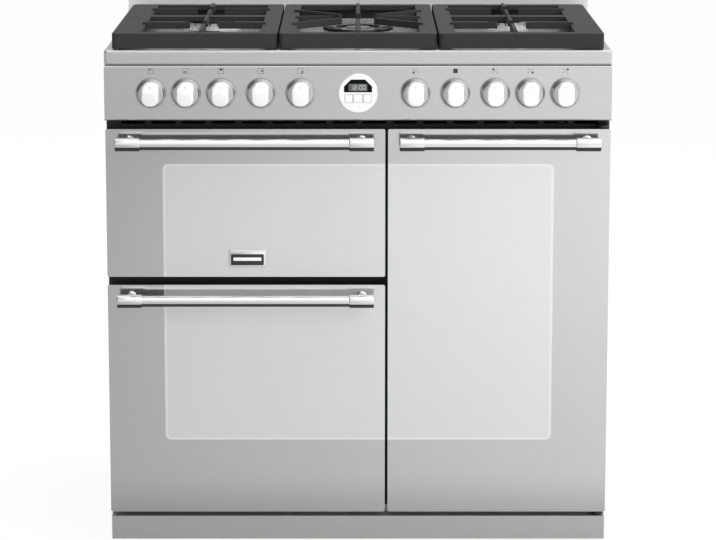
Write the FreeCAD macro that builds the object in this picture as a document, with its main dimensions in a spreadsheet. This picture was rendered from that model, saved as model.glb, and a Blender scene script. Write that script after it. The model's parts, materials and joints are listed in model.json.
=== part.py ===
"""Range cooker, 90 cm wide: gas hob, two left ovens with drop-down doors, tall oven with a side-hung door.

Millimetres. +Z is up, the front faces -Y, and the origin is on the floor below the middle of the cooker.
"""
import FreeCAD, Part
import math
import operator
import os
from types import SimpleNamespace
import Sketcher
from FreeCAD import Placement, Rotation, Vector

SIZES = {
    # whole cooker
    "body_width": 900, "body_depth": 600, "handle_reach": 50, "door_margin": 1,
    # front levels, from the floor up
    "plinth_top": 48, "plinth_gap": 9, "lower_door_height": 420, "door_gap": 15, "upper_door_height": 267,
    "vent_gap": 15, "fascia_height": 99, "shadow_gap": 3, "hob_lip": 24,
    # doors
    "left_door_width": 497.5, "mullion_gap": 5, "door_depth": 34, "door_glass": 4, "door_sheet": 1.5,
    "seal_space": 6, "panel_inset": 1.5, "panel_corner": 8, "window_side": 75, "window_rim": 50,
    "pane_glass": 4, "pane_lap": 12, "glass_corner": 3,
    # handles
    "handle_bar": 20, "handle_drop": 22, "handle_margin": 20, "sleeve_width": 24, "sleeve_length": 44,
    "handle_post": 16,
    # hinges
    "hinge_setback": 12, "hinge_rise": 8, "side_hinge_inset": 13, "hinge_pin": 6, "hinge_plate": 4,
    "hinge_inset": 60, "hinge_fit": 0.08, "hinge_notch_gap": 1.5, "hinge_ear": 4, "ear_reach": 6,
    "pivot_arm": 5, "pivot_arm_width": 18, "pivot_depth": 10, "pivot_gap": 1, "pivot_boss": 14,
    # carcass
    "side_sheet": 1.5, "side_return": 15, "base_height": 40, "base_rim": 20, "frame_sheet": 2,
    "frame_return": 14, "rear_sheet": 1.5, "plinth_ground": 5, "plinth_setback": 3, "plinth_inset": 2,
    "foot_pad": 45, "foot_pad_height": 10, "foot_stem": 14, "foot_side": 60, "foot_front": 90,
    "foot_rear": 60, "foot_chamfer": 3, "rear_slot_long": 120, "rear_slot_high": 6, "rear_slot_pitch": 22,
    "vent_slot_long": 42, "vent_slot_high": 7, "vent_slot_pitch": 54,
    # ovens
    "oven_side_lap": 48, "oven_end_lap": 36, "oven_wall": 1.5, "oven_depth": 400, "oven_corner": 14,
    "oven_flange": 12, "flange_sheet": 1.5, "oven_fit": 0.5, "ridge_high": 5, "ridge_deep": 9,
    "ridge_start": 30, "ridge_long": 340, "shelf_pitch": 80, "first_shelf": 90, "upper_ridge": 70,
    "seal_width": 9, "seal_rest_gap": 0.3, "seal_corner": 20,
    # shelves and grill pan
    "shelf_side_gap": 2, "shelf_frame": 6, "shelf_wire": 4, "shelf_front_gap": 12, "shelf_rear_gap": 24,
    "grill_pan_depth": 32, "grill_pan_sheet": 1.5, "grill_pan_corner": 18, "grill_pan_rim": 8,
    # fans and elements
    "fan_hub": 24, "fan_disc": 140, "fan_blade_high": 22, "fan_sheet": 1.5, "fan_gap": 12,
    "fan_blade_long": 24, "fan_shaft": 8, "fan_fit": 0.08, "baffle_depth": 46,
    "baffle_width": 260, "baffle_height": 250, "baffle_sheet": 1.5, "baffle_slot_long": 34,
    "baffle_slot_wide": 6, "baffle_slot_radius": 62, "baffle_window": 30, "motor_body": 84,
    "motor_long": 62, "motor_neck": 26, "motor_neck_long": 10, "wall_hole": 30, "element_tube": 7,
    "element_ring": 190, "element_leg": 30, "grill_element_drop": 24,
    "grill_element_side": 60, "grill_element_front": 60, "grill_element_long": 260,
    # hob
    "hob_sheet": 1.5, "hob_edge": 5, "hob_corner": 6, "well_side": 18, "well_front": 12, "well_rear": 42,
    "well_deep": 7, "well_corner": 16, "upstand_high": 35, "upstand_deep": 20,
    # burners, by the diameter of the cap
    "cap_small": 55, "cap_medium": 75, "cap_large": 100, "cap_wok": 130, "cap_high": 6, "cap_edge": 2,
    "cap_overhang": 2, "crown_high": 15, "crown_wall": 7, "burner_flange": 7, "burner_flange_high": 3,
    "cup_deep": 26, "cup_step": 9, "hob_hole_fit": 0.5, "port_wide": 3, "port_high": 5, "spigot_high": 4,
    "spigot_fit": 0.3, "jet_bore": 10, "wok_ring_width": 24, "wok_centre_cap": 46,
    # pan supports
    "support_depth": 520, "support_setback": 6, "support_side_gap": 14, "support_centre": 280,
    "support_gap": 3, "support_foot": 9, "support_apron": 27, "support_wall": 7, "support_top": 9,
    "support_rim": 24, "support_outer_rim": 50, "support_inner_rim": 30, "support_bar": 30,
    "support_bar_row": 300, "support_corner": 10, "support_edge": 2, "rear_notch_wide": 9,
    "rear_notch_deep": 8, "finger_high": 4, "finger_deep": 12, "finger_wide": 9, "finger_root": 14,
    "finger_slope": 10, "finger_clear": 26, "finger_tip": 6, "wok_finger_clear": 46, "foot_inset": 17,
    "foot_block": 12,
    # fascia, clock, knobs
    "fascia_sheet": 1.5, "fascia_edge": 4, "knob_hole": 14, "knob_x_1": 102, "knob_x_2": 172.5,
    "knob_x_3": 243, "knob_x_4": 305, "knob_x_5": 367, "knob_gap": 3, "knob_skirt": 53, "knob_body": 49,
    "skirt_depth": 5, "knob_base": 12, "grip_depth": 17, "grip_wide": 28, "grip_tall": 44, "knob_edge": 2,
    "knob_round": 3, "spindle": 8, "spindle_fit": 0.1, "spindle_in_knob": 16,
    "push_travel": 2, "clock_bezel": 70, "clock_face": 62, "bezel_proud": 6,
    "bezel_edge": 1.5, "display_recess": 2, "display_wide": 50, "display_floor": 4, "button_gap": 0.5,
    "button_middle": 15, "button_high": 14, "button_inset": 2, "button_proud": 1.5, "button_travel": 1,
    "button_rim": 3,
    "clock_box_wide": 74, "clock_box_high": 66, "clock_box_deep": 44,
    # switches, gas and electric supply
    "switch_wide": 42, "switch_high": 46, "switch_deep": 32, "tap_wide": 26, "tap_high": 34,
    "tap_deep": 30, "gas_pipe": 18, "gas_run_inset": 34, "gas_inlet_nut": 30, "gas_inlet_long": 34,
    "gas_inlet_bore": 18.6, "gas_inlet_drop": 40, "gas_inlet_deep": 15, "gas_hole_gap": 1,
    "burner_pipe": 8, "burner_pipe_rise": 10, "jet_holder": 20, "jet_holder_gap": 0.2,
    "terminal_wide": 90, "terminal_high": 70, "terminal_deep": 38, "terminal_side": 130,
    "terminal_level": 640, "cable_bore": 20, "cable_boss": 30, "cable_boss_long": 12,
    # cuts run past what they cut by this much
    "overrun": 2,
}

doc = FreeCAD.newDocument("range_cooker")
ARITHMETIC = {"+": operator.add, "-": operator.sub, "*": operator.mul, "/": operator.truediv}
AXES = {"x": Vector(1, 0, 0), "y": Vector(0, 1, 0), "z": Vector(0, 0, 1)}
TURN_FROM_Z = {"x": Rotation(AXES["z"], AXES["x"]), "y": Rotation(AXES["z"], AXES["y"]), "z": Rotation()}
NORMAL_SIGN = {"XY_Plane": 1, "YZ_Plane": 1, "XZ_Plane": -1}


class Size:
    """A length, kept both as the formula that a property is bound to and as its number now."""

    def __init__(self, formula, number):
        self.formula = formula
        self.number = number

    def __add__(self, other):
        return combined(self, "+", other)

    def __radd__(self, other):
        return combined(other, "+", self)

    def __sub__(self, other):
        return combined(self, "-", other)

    def __rsub__(self, other):
        return combined(other, "-", self)

    def __mul__(self, other):
        return combined(self, "*", other)

    def __rmul__(self, other):
        return combined(other, "*", self)

    def __truediv__(self, other):
        return combined(self, "/", other)

    def __neg__(self):
        return combined(0, "-", self)

    def __float__(self):
        return self.number


def as_size(value):
    return value if isinstance(value, Size) else Size(str(value), float(value))


def combined(left, sign, right):
    left, right = as_size(left), as_size(right)
    return Size(f"({left.formula} {sign} {right.formula})", ARITHMETIC[sign](left.number, right.number))


def sheet_of_sizes():
    """The driving dimensions in a sheet, and each as a Size under its own name."""
    sheet = doc.addObject("Spreadsheet::Sheet", "Sizes")
    for row, (name, number) in enumerate(SIZES.items(), start=1):
        sheet.set(f"A{row}", name)
        sheet.set(f"B{row}", str(number))
        sheet.setAlias(f"B{row}", name)
    doc.recompute()
    return SimpleNamespace(**{name: Size(f"Sizes.{name}", float(sheet.get(name))) for name in SIZES})


def bind(item, bindings):
    for prop, value in bindings.items():
        item.setExpression(prop, as_size(value).formula)


def place(item, x=0, y=0, z=0):
    bind(item, {f".Placement.Base.{axis}": value for axis, value in zip("xyz", (x, y, z))})
    return item


def block(name, x, y, z):
    """A box between a low and a high limit on each axis."""
    item = doc.addObject("Part::Box", name)
    bind(item, {"Length": x[1] - x[0], "Width": y[1] - y[0], "Height": z[1] - z[0]})
    return place(item, x[0], y[0], z[0])


def rod(name, start, axis, diameter, length):
    """A cylinder from its start point along one axis."""
    item = doc.addObject("Part::Cylinder", name)
    item.Placement = Placement(Vector(), TURN_FROM_Z[axis])
    bind(item, {"Radius": diameter / 2, "Height": length})
    return place(item, *start)


def wire_bar(name, start, axis, diameter, length):
    """A six-sided bar from its start point along one axis."""
    item = doc.addObject("Part::Prism", name)
    item.Polygon = 6
    item.Placement = Placement(Vector(), TURN_FROM_Z[axis])
    bind(item, {"Circumradius": diameter / 2, "Height": length})
    return place(item, *start)


def fused(name, items):
    item = doc.addObject("Part::MultiFuse", name)
    item.Shapes = items
    return item


def without(name, base, tools):
    item = doc.addObject("Part::Cut", name)
    item.Base = base
    item.Tool = tools[0] if len(tools) == 1 else fused(name + "_cuts", tools)
    return item


def grouped(name, items):
    """Separate solids that share one node."""
    item = doc.addObject("Part::Compound", name)
    item.Links = items
    return item


def new_body(name):
    return doc.addObject("PartDesign::Body", name)


def new_sketch(body, plane, at):
    """An empty sketch on one of the body's own planes, moved along that plane's axis."""
    sketch = body.newObject("Sketcher::SketchObject", body.Name + "_outline")
    origin_plane = [item for item in body.Origin.OriginFeatures if item.Role == plane][0]
    sketch.AttachmentSupport = [(origin_plane, "")]
    sketch.MapMode = "FlatFace"
    sketch.setExpression(".AttachmentOffset.Base.z", (NORMAL_SIGN[plane] * as_size(at)).formula)
    return sketch


def add_loop(sketch, points):
    """A closed outline of straight lines, with each corner dimensioned from the origin."""
    spots = [Vector(float(x), float(y), 0) for x, y in points]
    first = len(sketch.Geometry)
    count = len(spots)
    for index in range(count):
        sketch.addGeometry(Part.LineSegment(spots[index], spots[(index + 1) % count]), False)
    for index, (x, y) in enumerate(points):
        line, following = first + index, first + (index + 1) % count
        sketch.addConstraint(Sketcher.Constraint("Coincident", line, 2, following, 1))
        for kind, value in (("DistanceX", x), ("DistanceY", y)):
            limit = sketch.addConstraint(Sketcher.Constraint(kind, -1, 1, line, 1, float(value)))
            sketch.setExpression(f"Constraints[{limit}]", as_size(value).formula)


def add_circle(sketch, spot, diameter):
    centre = Vector(float(spot[0]), float(spot[1]), 0)
    ring = sketch.addGeometry(Part.Circle(centre, AXES["z"], float(diameter) / 2), False)
    for kind, value in (("DistanceX", spot[0]), ("DistanceY", spot[1])):
        limit = sketch.addConstraint(Sketcher.Constraint(kind, -1, 1, ring, 3, float(value)))
        sketch.setExpression(f"Constraints[{limit}]", as_size(value).formula)
    limit = sketch.addConstraint(Sketcher.Constraint("Diameter", ring, float(diameter)))
    sketch.setExpression(f"Constraints[{limit}]", as_size(diameter).formula)


def rectangle(x, y):
    return [(x[0], y[0]), (x[1], y[0]), (x[1], y[1]), (x[0], y[1])]


def sketched(body, plane, at, loops=(), circles=()):
    """A sketch of outlines and circles; each circle is its centre and diameter."""
    sketch = new_sketch(body, plane, at)
    for points in loops:
        add_loop(sketch, points)
    for spot, diameter in circles:
        add_circle(sketch, spot, diameter)
    return sketch


def is_backward(sketch, toward, usual):
    plane = sketch.AttachmentSupport[0][0].Role
    return toward * usual != NORMAL_SIGN[plane]


def pad(body, sketch, length, toward=1):
    """Material from the sketch along its plane's axis, up that axis or down it."""
    feature = body.newObject("PartDesign::Pad", body.Name + "_pad")
    feature.Profile = sketch
    feature.Reversed = is_backward(sketch, toward, 1)
    bind(feature, {"Length": length})
    doc.recompute()
    return feature


def pad_both_ways(body, sketch, length):
    feature = body.newObject("PartDesign::Pad", body.Name + "_pad")
    feature.Profile = sketch
    feature.SideType = "Symmetric"
    bind(feature, {"Length": length})
    doc.recompute()
    return feature


def pocket(body, sketch, depth, toward=1):
    """A cut from the sketch along its plane's axis; it must take material away."""
    before = body.Shape.Volume
    feature = body.newObject("PartDesign::Pocket", body.Name + "_pocket")
    feature.Profile = sketch
    feature.Reversed = is_backward(sketch, toward, -1)
    bind(feature, {"Length": depth})
    doc.recompute()
    if not feature.Shape.Volume < before:
        raise ValueError(f"{feature.Name} cuts nothing")
    return feature


def revolved(body, sketch, axis="V_Axis"):
    feature = body.newObject("PartDesign::Revolution", body.Name + "_turned")
    feature.Profile = sketch
    feature.ReferenceAxis = (sketch, [axis])
    feature.Angle = 360
    doc.recompute()
    return feature


def at_corner(edge, x, z):
    """Whether the middle of an edge lies on a corner of these limits across and up."""
    spot = edge.CenterOfMass
    return any(near(spot.x, limit) for limit in x) and any(near(spot.z, limit) for limit in z)


def edges_where(shape, test):
    return [f"Edge{number}" for number, edge in enumerate(shape.Edges, start=1) if test(edge)]


def faces_where(shape, test):
    return [f"Face{number}" for number, face in enumerate(shape.Faces, start=1) if test(face)]


def lies_along(edge, axis):
    """Whether a straight edge runs along one of the three axes."""
    if edge.Curve.TypeId != "Part::GeomLine":
        return False
    return abs(abs(edge.tangentAt(edge.FirstParameter).dot(AXES[axis])) - 1) < 1e-6


def near(value, size, slack=1e-3):
    return abs(value - float(size)) < slack


def rounded(body, test, radius):
    """A fillet on each edge of the body's last feature that passes the test."""
    base = body.Tip
    feature = body.newObject("PartDesign::Fillet", body.Name + "_round")
    feature.Base = (base, edges_where(base.Shape, test))
    bind(feature, {"Radius": radius})
    doc.recompute()
    return feature


def chamfered(body, test, leg):
    base = body.Tip
    feature = body.newObject("PartDesign::Chamfer", body.Name + "_bevel")
    feature.Base = (base, edges_where(base.Shape, test))
    bind(feature, {"Size": leg})
    doc.recompute()
    return feature


def shelled(body, test, wall):
    """A thin wall inside the last feature, open at each face that passes the test."""
    base = body.Tip
    feature = body.newObject("PartDesign::Thickness", body.Name + "_shell")
    feature.Base = (base, faces_where(base.Shape, test))
    feature.Reversed = True
    bind(feature, {"Value": wall})
    doc.recompute()
    return feature


def faces_toward(axis, sign, level):
    """A test for flat faces that look along an axis and lie at a level of it."""
    def test(face):
        if face.Surface.TypeId != "Part::GeomPlane":
            return False
        looks = face.normalAt(0, 0).dot(AXES[axis]) * sign > 0.999
        return looks and near(face.CenterOfMass.dot(AXES[axis]), level)
    return test


def in_row(body, feature, axis_role, length, count, backward=False):
    """Copies of a feature in a straight row."""
    row = body.newObject("PartDesign::LinearPattern", body.Name + "_row")
    row.Originals = [feature]
    axis = [item for item in body.Origin.OriginFeatures if item.Role == axis_role][0]
    row.Direction = (axis, [""])
    row.Reversed = backward
    row.Occurrences = count
    bind(row, {"Length": length})
    body.Tip = row
    doc.recompute()
    return row


def in_ring(body, feature, axis_role, count):
    """Copies of a feature evenly round an axis."""
    ring = body.newObject("PartDesign::PolarPattern", body.Name + "_ring")
    ring.Originals = [feature]
    axis = [item for item in body.Origin.OriginFeatures if item.Role == axis_role][0]
    ring.Axis = (axis, [""])
    ring.Angle = 360
    ring.Occurrences = count
    body.Tip = ring
    doc.recompute()
    return ring


mm = sheet_of_sizes()

# planes and levels that several pieces share
half_width = mm.body_width / 2
face_y = (mm.handle_reach - mm.body_depth) / 2
back_y = face_y + mm.body_depth
door_back_y = face_y + mm.door_depth
frame_y = door_back_y + mm.seal_space
frame_back_y = frame_y + mm.frame_sheet
inside_half = half_width - mm.side_sheet
rear_inside_y = back_y - mm.rear_sheet
lower_door_z = mm.plinth_top + mm.plinth_gap
lower_door_top = lower_door_z + mm.lower_door_height
upper_door_z = lower_door_top + mm.door_gap
upper_door_top = upper_door_z + mm.upper_door_height
fascia_z = upper_door_top + mm.vent_gap
fascia_top = fascia_z + mm.fascia_height
hob_z = fascia_top + mm.shadow_gap
hob_top_z = hob_z + mm.hob_lip
well_z = hob_top_z - mm.well_deep
control_z = fascia_z + mm.fascia_height / 2
hinge_y = face_y + mm.hinge_setback
support_y = (face_y + mm.support_setback, face_y + mm.support_setback + mm.support_depth)
apron_z = well_z + mm.support_foot
rim_z = apron_z + mm.support_apron
finger_z = rim_z + mm.finger_high

left_door = (-half_width + mm.door_margin, -half_width + mm.door_margin + mm.left_door_width)
right_door = (left_door[1] + mm.mullion_gap, half_width - mm.door_margin)
DOORS = {
    "upper": (left_door, (upper_door_z, upper_door_top)),
    "lower": (left_door, (lower_door_z, lower_door_top)),
    "right": (right_door, (lower_door_z, upper_door_top)),
}
OVENS = {"upper": "top_oven", "lower": "main_oven", "right": "tall_oven"}
outer_end = half_width - mm.support_side_gap
inner_end = mm.support_centre / 2 + mm.support_gap
SUPPORTS = {
    "left": (-outer_end, -inner_end),
    "centre": (-mm.support_centre / 2, mm.support_centre / 2),
    "right": (inner_end, outer_end),
}


def oven_limits(door):
    """The clear inside of an oven: its limits across and its limits up."""
    x, z = DOORS[door]
    return ((x[0] + mm.oven_side_lap, x[1] - mm.oven_side_lap), (z[0] + mm.oven_end_lap, z[1] - mm.oven_end_lap))


def grown(pair, amount):
    return (pair[0] - amount, pair[1] + amount)


def middle(pair):
    return (pair[0] + pair[1]) / 2


def support_window(side):
    """The clear width inside a side support's rims, wider at the hob's end."""
    x = SUPPORTS[side]
    if side == "left":
        return (x[0] + mm.support_outer_rim, x[1] - mm.support_inner_rim)
    return (x[0] + mm.support_inner_rim, x[1] - mm.support_outer_rim)


def window_rows():
    """The front and rear window of a side support, each as its near and far limit."""
    bar = support_y[0] + mm.support_bar_row
    front = (support_y[0] + mm.support_rim, bar - mm.support_bar / 2)
    return front, (bar + mm.support_bar / 2, support_y[1] - mm.support_rim)


def knob_centres():
    """The ten knobs from left to right, mirrored about the clock."""
    right = [mm.knob_x_1, mm.knob_x_2, mm.knob_x_3, mm.knob_x_4, mm.knob_x_5]
    return [-x for x in reversed(right)] + right


def shelf_levels(door):
    """The top of each pair of ridges in an oven."""
    bottom = oven_limits(door)[1][0]
    if door == "upper":
        return [bottom + mm.upper_ridge]
    count = 3 if door == "lower" else 6
    return [bottom + mm.first_shelf + step * mm.shelf_pitch for step in range(count)]


# carcass


def side_panels():
    """Two folded side sheets with a return at the back for the rear panel."""
    sides = []
    for sign, label in ((1, "right"), (-1, "left")):
        body = new_body(f"side_{label}")
        outer, inner = sign * half_width, sign * inside_half
        fold = sign * (half_width - mm.side_return)
        behind = rear_inside_y - mm.side_sheet
        profile = [(outer, frame_y), (outer, rear_inside_y), (fold, rear_inside_y), (fold, behind),
                   (inner, behind), (inner, frame_y)]
        pad(body, sketched(body, "XY_Plane", mm.base_height, [profile]), hob_z - mm.base_height)
        sides.append(body)
    return grouped("side_panels", sides)


def base_tray():
    """The folded floor of the carcass, open upward."""
    body = new_body("base_tray")
    sketch = sketched(body, "XY_Plane", mm.base_height,
                      [rectangle((-inside_half, inside_half), (frame_y, rear_inside_y - mm.side_sheet))])
    pad(body, sketch, mm.base_rim)
    shelled(body, faces_toward("z", 1, mm.base_height + mm.base_rim), mm.side_sheet)
    return body


def plinth():
    """A channel under the doors, folded back to the base tray."""
    body = new_body("plinth")
    front = face_y + mm.plinth_setback
    profile = [(front, mm.plinth_ground), (front + mm.side_sheet, mm.plinth_ground),
               (front + mm.side_sheet, mm.plinth_top - mm.side_sheet), (frame_y, mm.plinth_top - mm.side_sheet),
               (frame_y, mm.plinth_top), (front, mm.plinth_top)]
    pad_both_ways(body, sketched(body, "YZ_Plane", 0, [profile]), mm.body_width - 2 * mm.plinth_inset)
    return body


def adjustable_feet():
    """Four feet with a broad pad and a stem up to the base tray."""
    feet = []
    spots = [(sign * (half_width - mm.foot_side), y) for sign in (-1, 1)
             for y in (face_y + mm.foot_front, back_y - mm.foot_rear)]
    for number, (x, y) in enumerate(spots, start=1):
        body = new_body(f"foot_{number}")
        pad_radius, stem_radius = mm.foot_pad / 2, mm.foot_stem / 2
        profile = [(0, 0), (pad_radius, 0), (pad_radius, mm.foot_pad_height - mm.foot_chamfer),
                   (pad_radius - mm.foot_chamfer, mm.foot_pad_height), (stem_radius, mm.foot_pad_height),
                   (stem_radius, mm.base_height), (0, mm.base_height)]
        revolved(body, sketched(body, "XZ_Plane", 0, [profile]))
        feet.append(place(body, x, y))
    return grouped("adjustable_feet", feet)


def front_frame():
    """The enamelled sheet behind the doors and fascia, with oven mouths, vent slots and control holes."""
    body = new_body("front_frame")
    bottom = mm.base_height + mm.base_rim
    plate = rectangle((-inside_half, inside_half), (bottom, fascia_top))
    pad(body, sketched(body, "XZ_Plane", frame_y, [plate]), mm.frame_return)
    hollow = rectangle((-inside_half + mm.frame_sheet, inside_half - mm.frame_sheet),
                       (bottom + mm.frame_sheet, fascia_top - mm.frame_sheet))
    pocket(body, sketched(body, "XZ_Plane", frame_back_y, [hollow]), mm.frame_return)
    reach = mm.oven_wall + mm.oven_fit
    mouths = []
    for door in DOORS:
        x, z = oven_limits(door)
        mouths.append(rectangle(grown(x, reach), grown(z, reach)))
    holes = [((x, control_z), mm.knob_hole) for x in knob_centres()]
    holes.append(((0, control_z), mm.clock_face))
    cuts = sketched(body, "XZ_Plane", frame_y - mm.overrun, mouths, holes)
    pocket(body, cuts, mm.frame_sheet + 2 * mm.overrun)
    slot_z = upper_door_top + (mm.vent_gap - mm.vent_slot_high) / 2
    first = -half_width + mm.vent_slot_pitch / 2
    slot = rectangle((first, first + mm.vent_slot_long), (slot_z, slot_z + mm.vent_slot_high))
    cut = pocket(body, sketched(body, "XZ_Plane", frame_y - mm.overrun, [slot]),
                 mm.frame_sheet + 2 * mm.overrun)
    in_row(body, cut, "X_Axis", 15 * mm.vent_slot_pitch, 16)
    return body


def back_panel():
    """The rear sheet with rows of cooling slots and the gas and cable holes."""
    body = new_body("back_panel")
    plate = rectangle((-half_width, half_width), (mm.base_height, hob_z))
    pad(body, sketched(body, "XZ_Plane", rear_inside_y, [plate]), mm.rear_sheet)
    gas, cable = gas_inlet_spot(), cable_spot()
    holes = [(gas, mm.gas_inlet_nut + 2 * mm.gas_hole_gap), (cable, mm.cable_boss + 2 * mm.gas_hole_gap)]
    pocket(body, sketched(body, "XZ_Plane", rear_inside_y - mm.overrun, [], holes),
           mm.rear_sheet + 2 * mm.overrun)
    for door in ("lower", "right"):
        x, z = oven_limits(door)
        across = (middle(x) - mm.rear_slot_long / 2, middle(x) + mm.rear_slot_long / 2)
        level = middle(z)
        slot = rectangle(across, (level, level + mm.rear_slot_high))
        cut = pocket(body, sketched(body, "XZ_Plane", rear_inside_y - mm.overrun, [slot]),
                     mm.rear_sheet + 2 * mm.overrun)
        in_row(body, cut, "Z_Axis", 5 * mm.rear_slot_pitch, 6)
    return body


def gas_inlet_spot():
    """Where the gas inlet meets the rear panel: across and up."""
    return (half_width - mm.gas_run_inset, control_z - mm.gas_inlet_drop)


def cable_spot():
    return (-half_width + mm.terminal_side, mm.terminal_level)


# ovens


def oven_cavity(door):
    """An enamelled oven box with a flange on the front frame and pressed ridges for its shelves."""
    x, z = oven_limits(door)
    body = new_body(OVENS[door] + "_cavity")
    flange = rectangle(grown(x, mm.oven_wall + mm.oven_flange), grown(z, mm.oven_wall + mm.oven_flange))
    pad(body, sketched(body, "XZ_Plane", frame_y - mm.flange_sheet, [flange]), mm.flange_sheet)
    rounded(body, lambda edge: lies_along(edge, "y"), mm.seal_corner)
    outer = rectangle(grown(x, mm.oven_wall), grown(z, mm.oven_wall))
    pad(body, sketched(body, "XZ_Plane", frame_y, [outer]), mm.oven_depth + mm.oven_wall)
    pocket(body, sketched(body, "XZ_Plane", frame_y - mm.flange_sheet, [rectangle(x, z)]),
           mm.oven_depth + mm.flange_sheet)
    rounded(body, lambda edge: lies_along(edge, "y") and at_corner(edge, x, z), mm.oven_corner - mm.oven_wall)
    outside = (grown(x, mm.oven_wall), grown(z, mm.oven_wall))
    rounded(body, lambda edge: lies_along(edge, "y") and at_corner(edge, *outside), mm.oven_corner)
    ridges = []
    for top in shelf_levels(door):
        level = (top - mm.ridge_high, top)
        ridges.append(rectangle((x[0], x[0] + mm.ridge_deep), level))
        ridges.append(rectangle((x[1] - mm.ridge_deep, x[1]), level))
    pad(body, sketched(body, "XZ_Plane", frame_y + mm.ridge_start, ridges), mm.ridge_long)
    if door != "upper":
        hole = [((middle(x), middle(z)), mm.wall_hole)]
        pocket(body, sketched(body, "XZ_Plane", frame_y + mm.oven_depth - mm.overrun, [], hole),
               mm.oven_wall + 2 * mm.overrun)
    return body


def door_seals():
    """A braided seal round each oven mouth, lying on the flange."""
    seals = []
    for door in DOORS:
        x, z = oven_limits(door)
        body = new_body(f"{door}_seal")
        front = door_back_y + mm.seal_rest_gap
        depth = frame_y - mm.flange_sheet - front
        pad(body, sketched(body, "XZ_Plane", front, [rectangle(grown(x, mm.seal_width), grown(z, mm.seal_width))]),
            depth)
        rounded(body, lambda edge: lies_along(edge, "y"), mm.seal_corner)
        pocket(body, sketched(body, "XZ_Plane", front - mm.overrun, [rectangle(x, z)]), depth + 2 * mm.overrun)
        rounded(body, lambda edge: lies_along(edge, "y"), mm.seal_corner - mm.seal_width)
        seals.append(body)
    return grouped("door_seals", seals)


def wire_shelf(name, door, top):
    """A shelf of two side bars, two cross bars and a row of wires, lying on its ridges."""
    x, _ = oven_limits(door)
    left, right = x[0] + mm.shelf_side_gap, x[1] - mm.shelf_side_gap
    front = frame_y + mm.shelf_front_gap
    back = frame_y + mm.oven_depth - mm.shelf_rear_gap - mm.baffle_depth
    level = top + mm.shelf_frame / 2
    lift = mm.shelf_frame * math.sqrt(3) / 4
    frame = mm.shelf_frame
    bars = [wire_bar(f"{name}_side_{label}", (at, front, top + lift), "y", frame, back - front)
            for label, at in (("left", left + frame / 2), ("right", right - frame / 2))]
    bars += [wire_bar(f"{name}_cross_{label}", (left + frame / 2, at, top + lift), "x", frame,
                      right - left - frame)
             for label, at in (("front", front + frame), ("rear", back - frame))]
    count = 11 if door == "right" else 15
    pitch = (right - left - 2 * frame) / (count + 1)
    for step in range(1, count + 1):
        at = left + frame + step * pitch
        bars.append(wire_bar(f"{name}_wire_{step}", (at, front + frame, level + frame / 2), "y",
                             mm.shelf_wire, back - front - 2 * frame))
    return fused(name, bars)


def oven_shelves():
    """Loose wire shelves: two in the main oven and three in the tall oven."""
    main, tall = shelf_levels("lower"), shelf_levels("right")
    shelves = [wire_shelf(f"main_shelf_{number}", "lower", main[step])
               for number, step in enumerate((0, 2), start=1)]
    shelves += [wire_shelf(f"tall_shelf_{number}", "right", tall[step])
                for number, step in enumerate((0, 2, 4), start=1)]
    return grouped("oven_shelves", shelves)


def grill_pan():
    """An enamelled tray with a rolled rim that hangs on the top oven's ridges."""
    x, _ = oven_limits("upper")
    body = new_body("grill_pan")
    top = shelf_levels("upper")[0]
    y = (frame_y + mm.shelf_front_gap, frame_y + mm.oven_depth - mm.shelf_rear_gap - mm.baffle_depth)
    inner_x = (x[0] + mm.ridge_deep + mm.shelf_side_gap, x[1] - mm.ridge_deep - mm.shelf_side_gap)
    tub = rectangle(inner_x, y)
    pad(body, sketched(body, "XY_Plane", top, [tub]), mm.grill_pan_depth, toward=-1)
    rounded(body, lambda edge: lies_along(edge, "z"), mm.grill_pan_corner)
    rounded(body, lambda edge: near(edge.CenterOfMass.z, top - mm.grill_pan_depth), mm.grill_pan_rim)
    shelled(body, faces_toward("z", 1, top), mm.grill_pan_sheet)
    wall = mm.grill_pan_sheet
    rim = [rectangle(grown(inner_x, mm.grill_pan_rim), y),
           rectangle(grown(inner_x, -mm.grill_pan_corner), (y[0] + mm.grill_pan_corner, y[1] - mm.grill_pan_corner))]
    pad(body, sketched(body, "XY_Plane", top, rim), wall)
    return body


def heating_elements():
    """A grill element under the top oven's roof and a ring element round each fan."""
    items = [grill_element()]
    for door in ("lower", "right"):
        x, z = oven_limits(door)
        body = new_body(f"{OVENS[door]}_element")
        ring, tube = mm.element_ring / 2, mm.element_tube / 2
        profile = [(ring - tube, 0), (ring, -tube), (ring + tube, 0), (ring, tube)]
        revolved(body, sketched(body, "XY_Plane", 0, [profile]))
        leg = rectangle((ring - tube / 2, ring + tube / 2), (-tube / 2, tube / 2))
        back = frame_y + mm.oven_depth
        at = back - mm.element_leg
        pad(body, sketched(body, "XZ_Plane", 0, [leg]), mm.element_leg)
        items.append(place(body, middle(x), at, middle(z)))
    return grouped("heating_elements", items)


def grill_element():
    """Straight passes of tube joined by short end bars, with two legs into the rear wall."""
    x, z = oven_limits("upper")
    tube = mm.element_tube
    level = z[1] - mm.grill_element_drop
    left, right = x[0] + mm.grill_element_side, x[1] - mm.grill_element_side
    front = frame_y + mm.grill_element_front
    count = 7
    pitch = (right - left) / (count - 1)
    back = front + mm.grill_element_long
    rear = frame_y + mm.oven_depth
    bars = []
    for step in range(count):
        at = left + step * pitch
        end = rear if step in (0, count - 1) else back
        bars.append(wire_bar(f"grill_pass_{step + 1}", (at, front, level), "y", tube, end - front))
    for step in range(count - 1):
        at = left + step * pitch
        turn = front if step % 2 == 0 else back
        bars.append(wire_bar(f"grill_turn_{step + 1}", (at - tube / 2, turn, level), "x", tube, pitch + tube))
    return fused("grill_element", bars)


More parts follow.
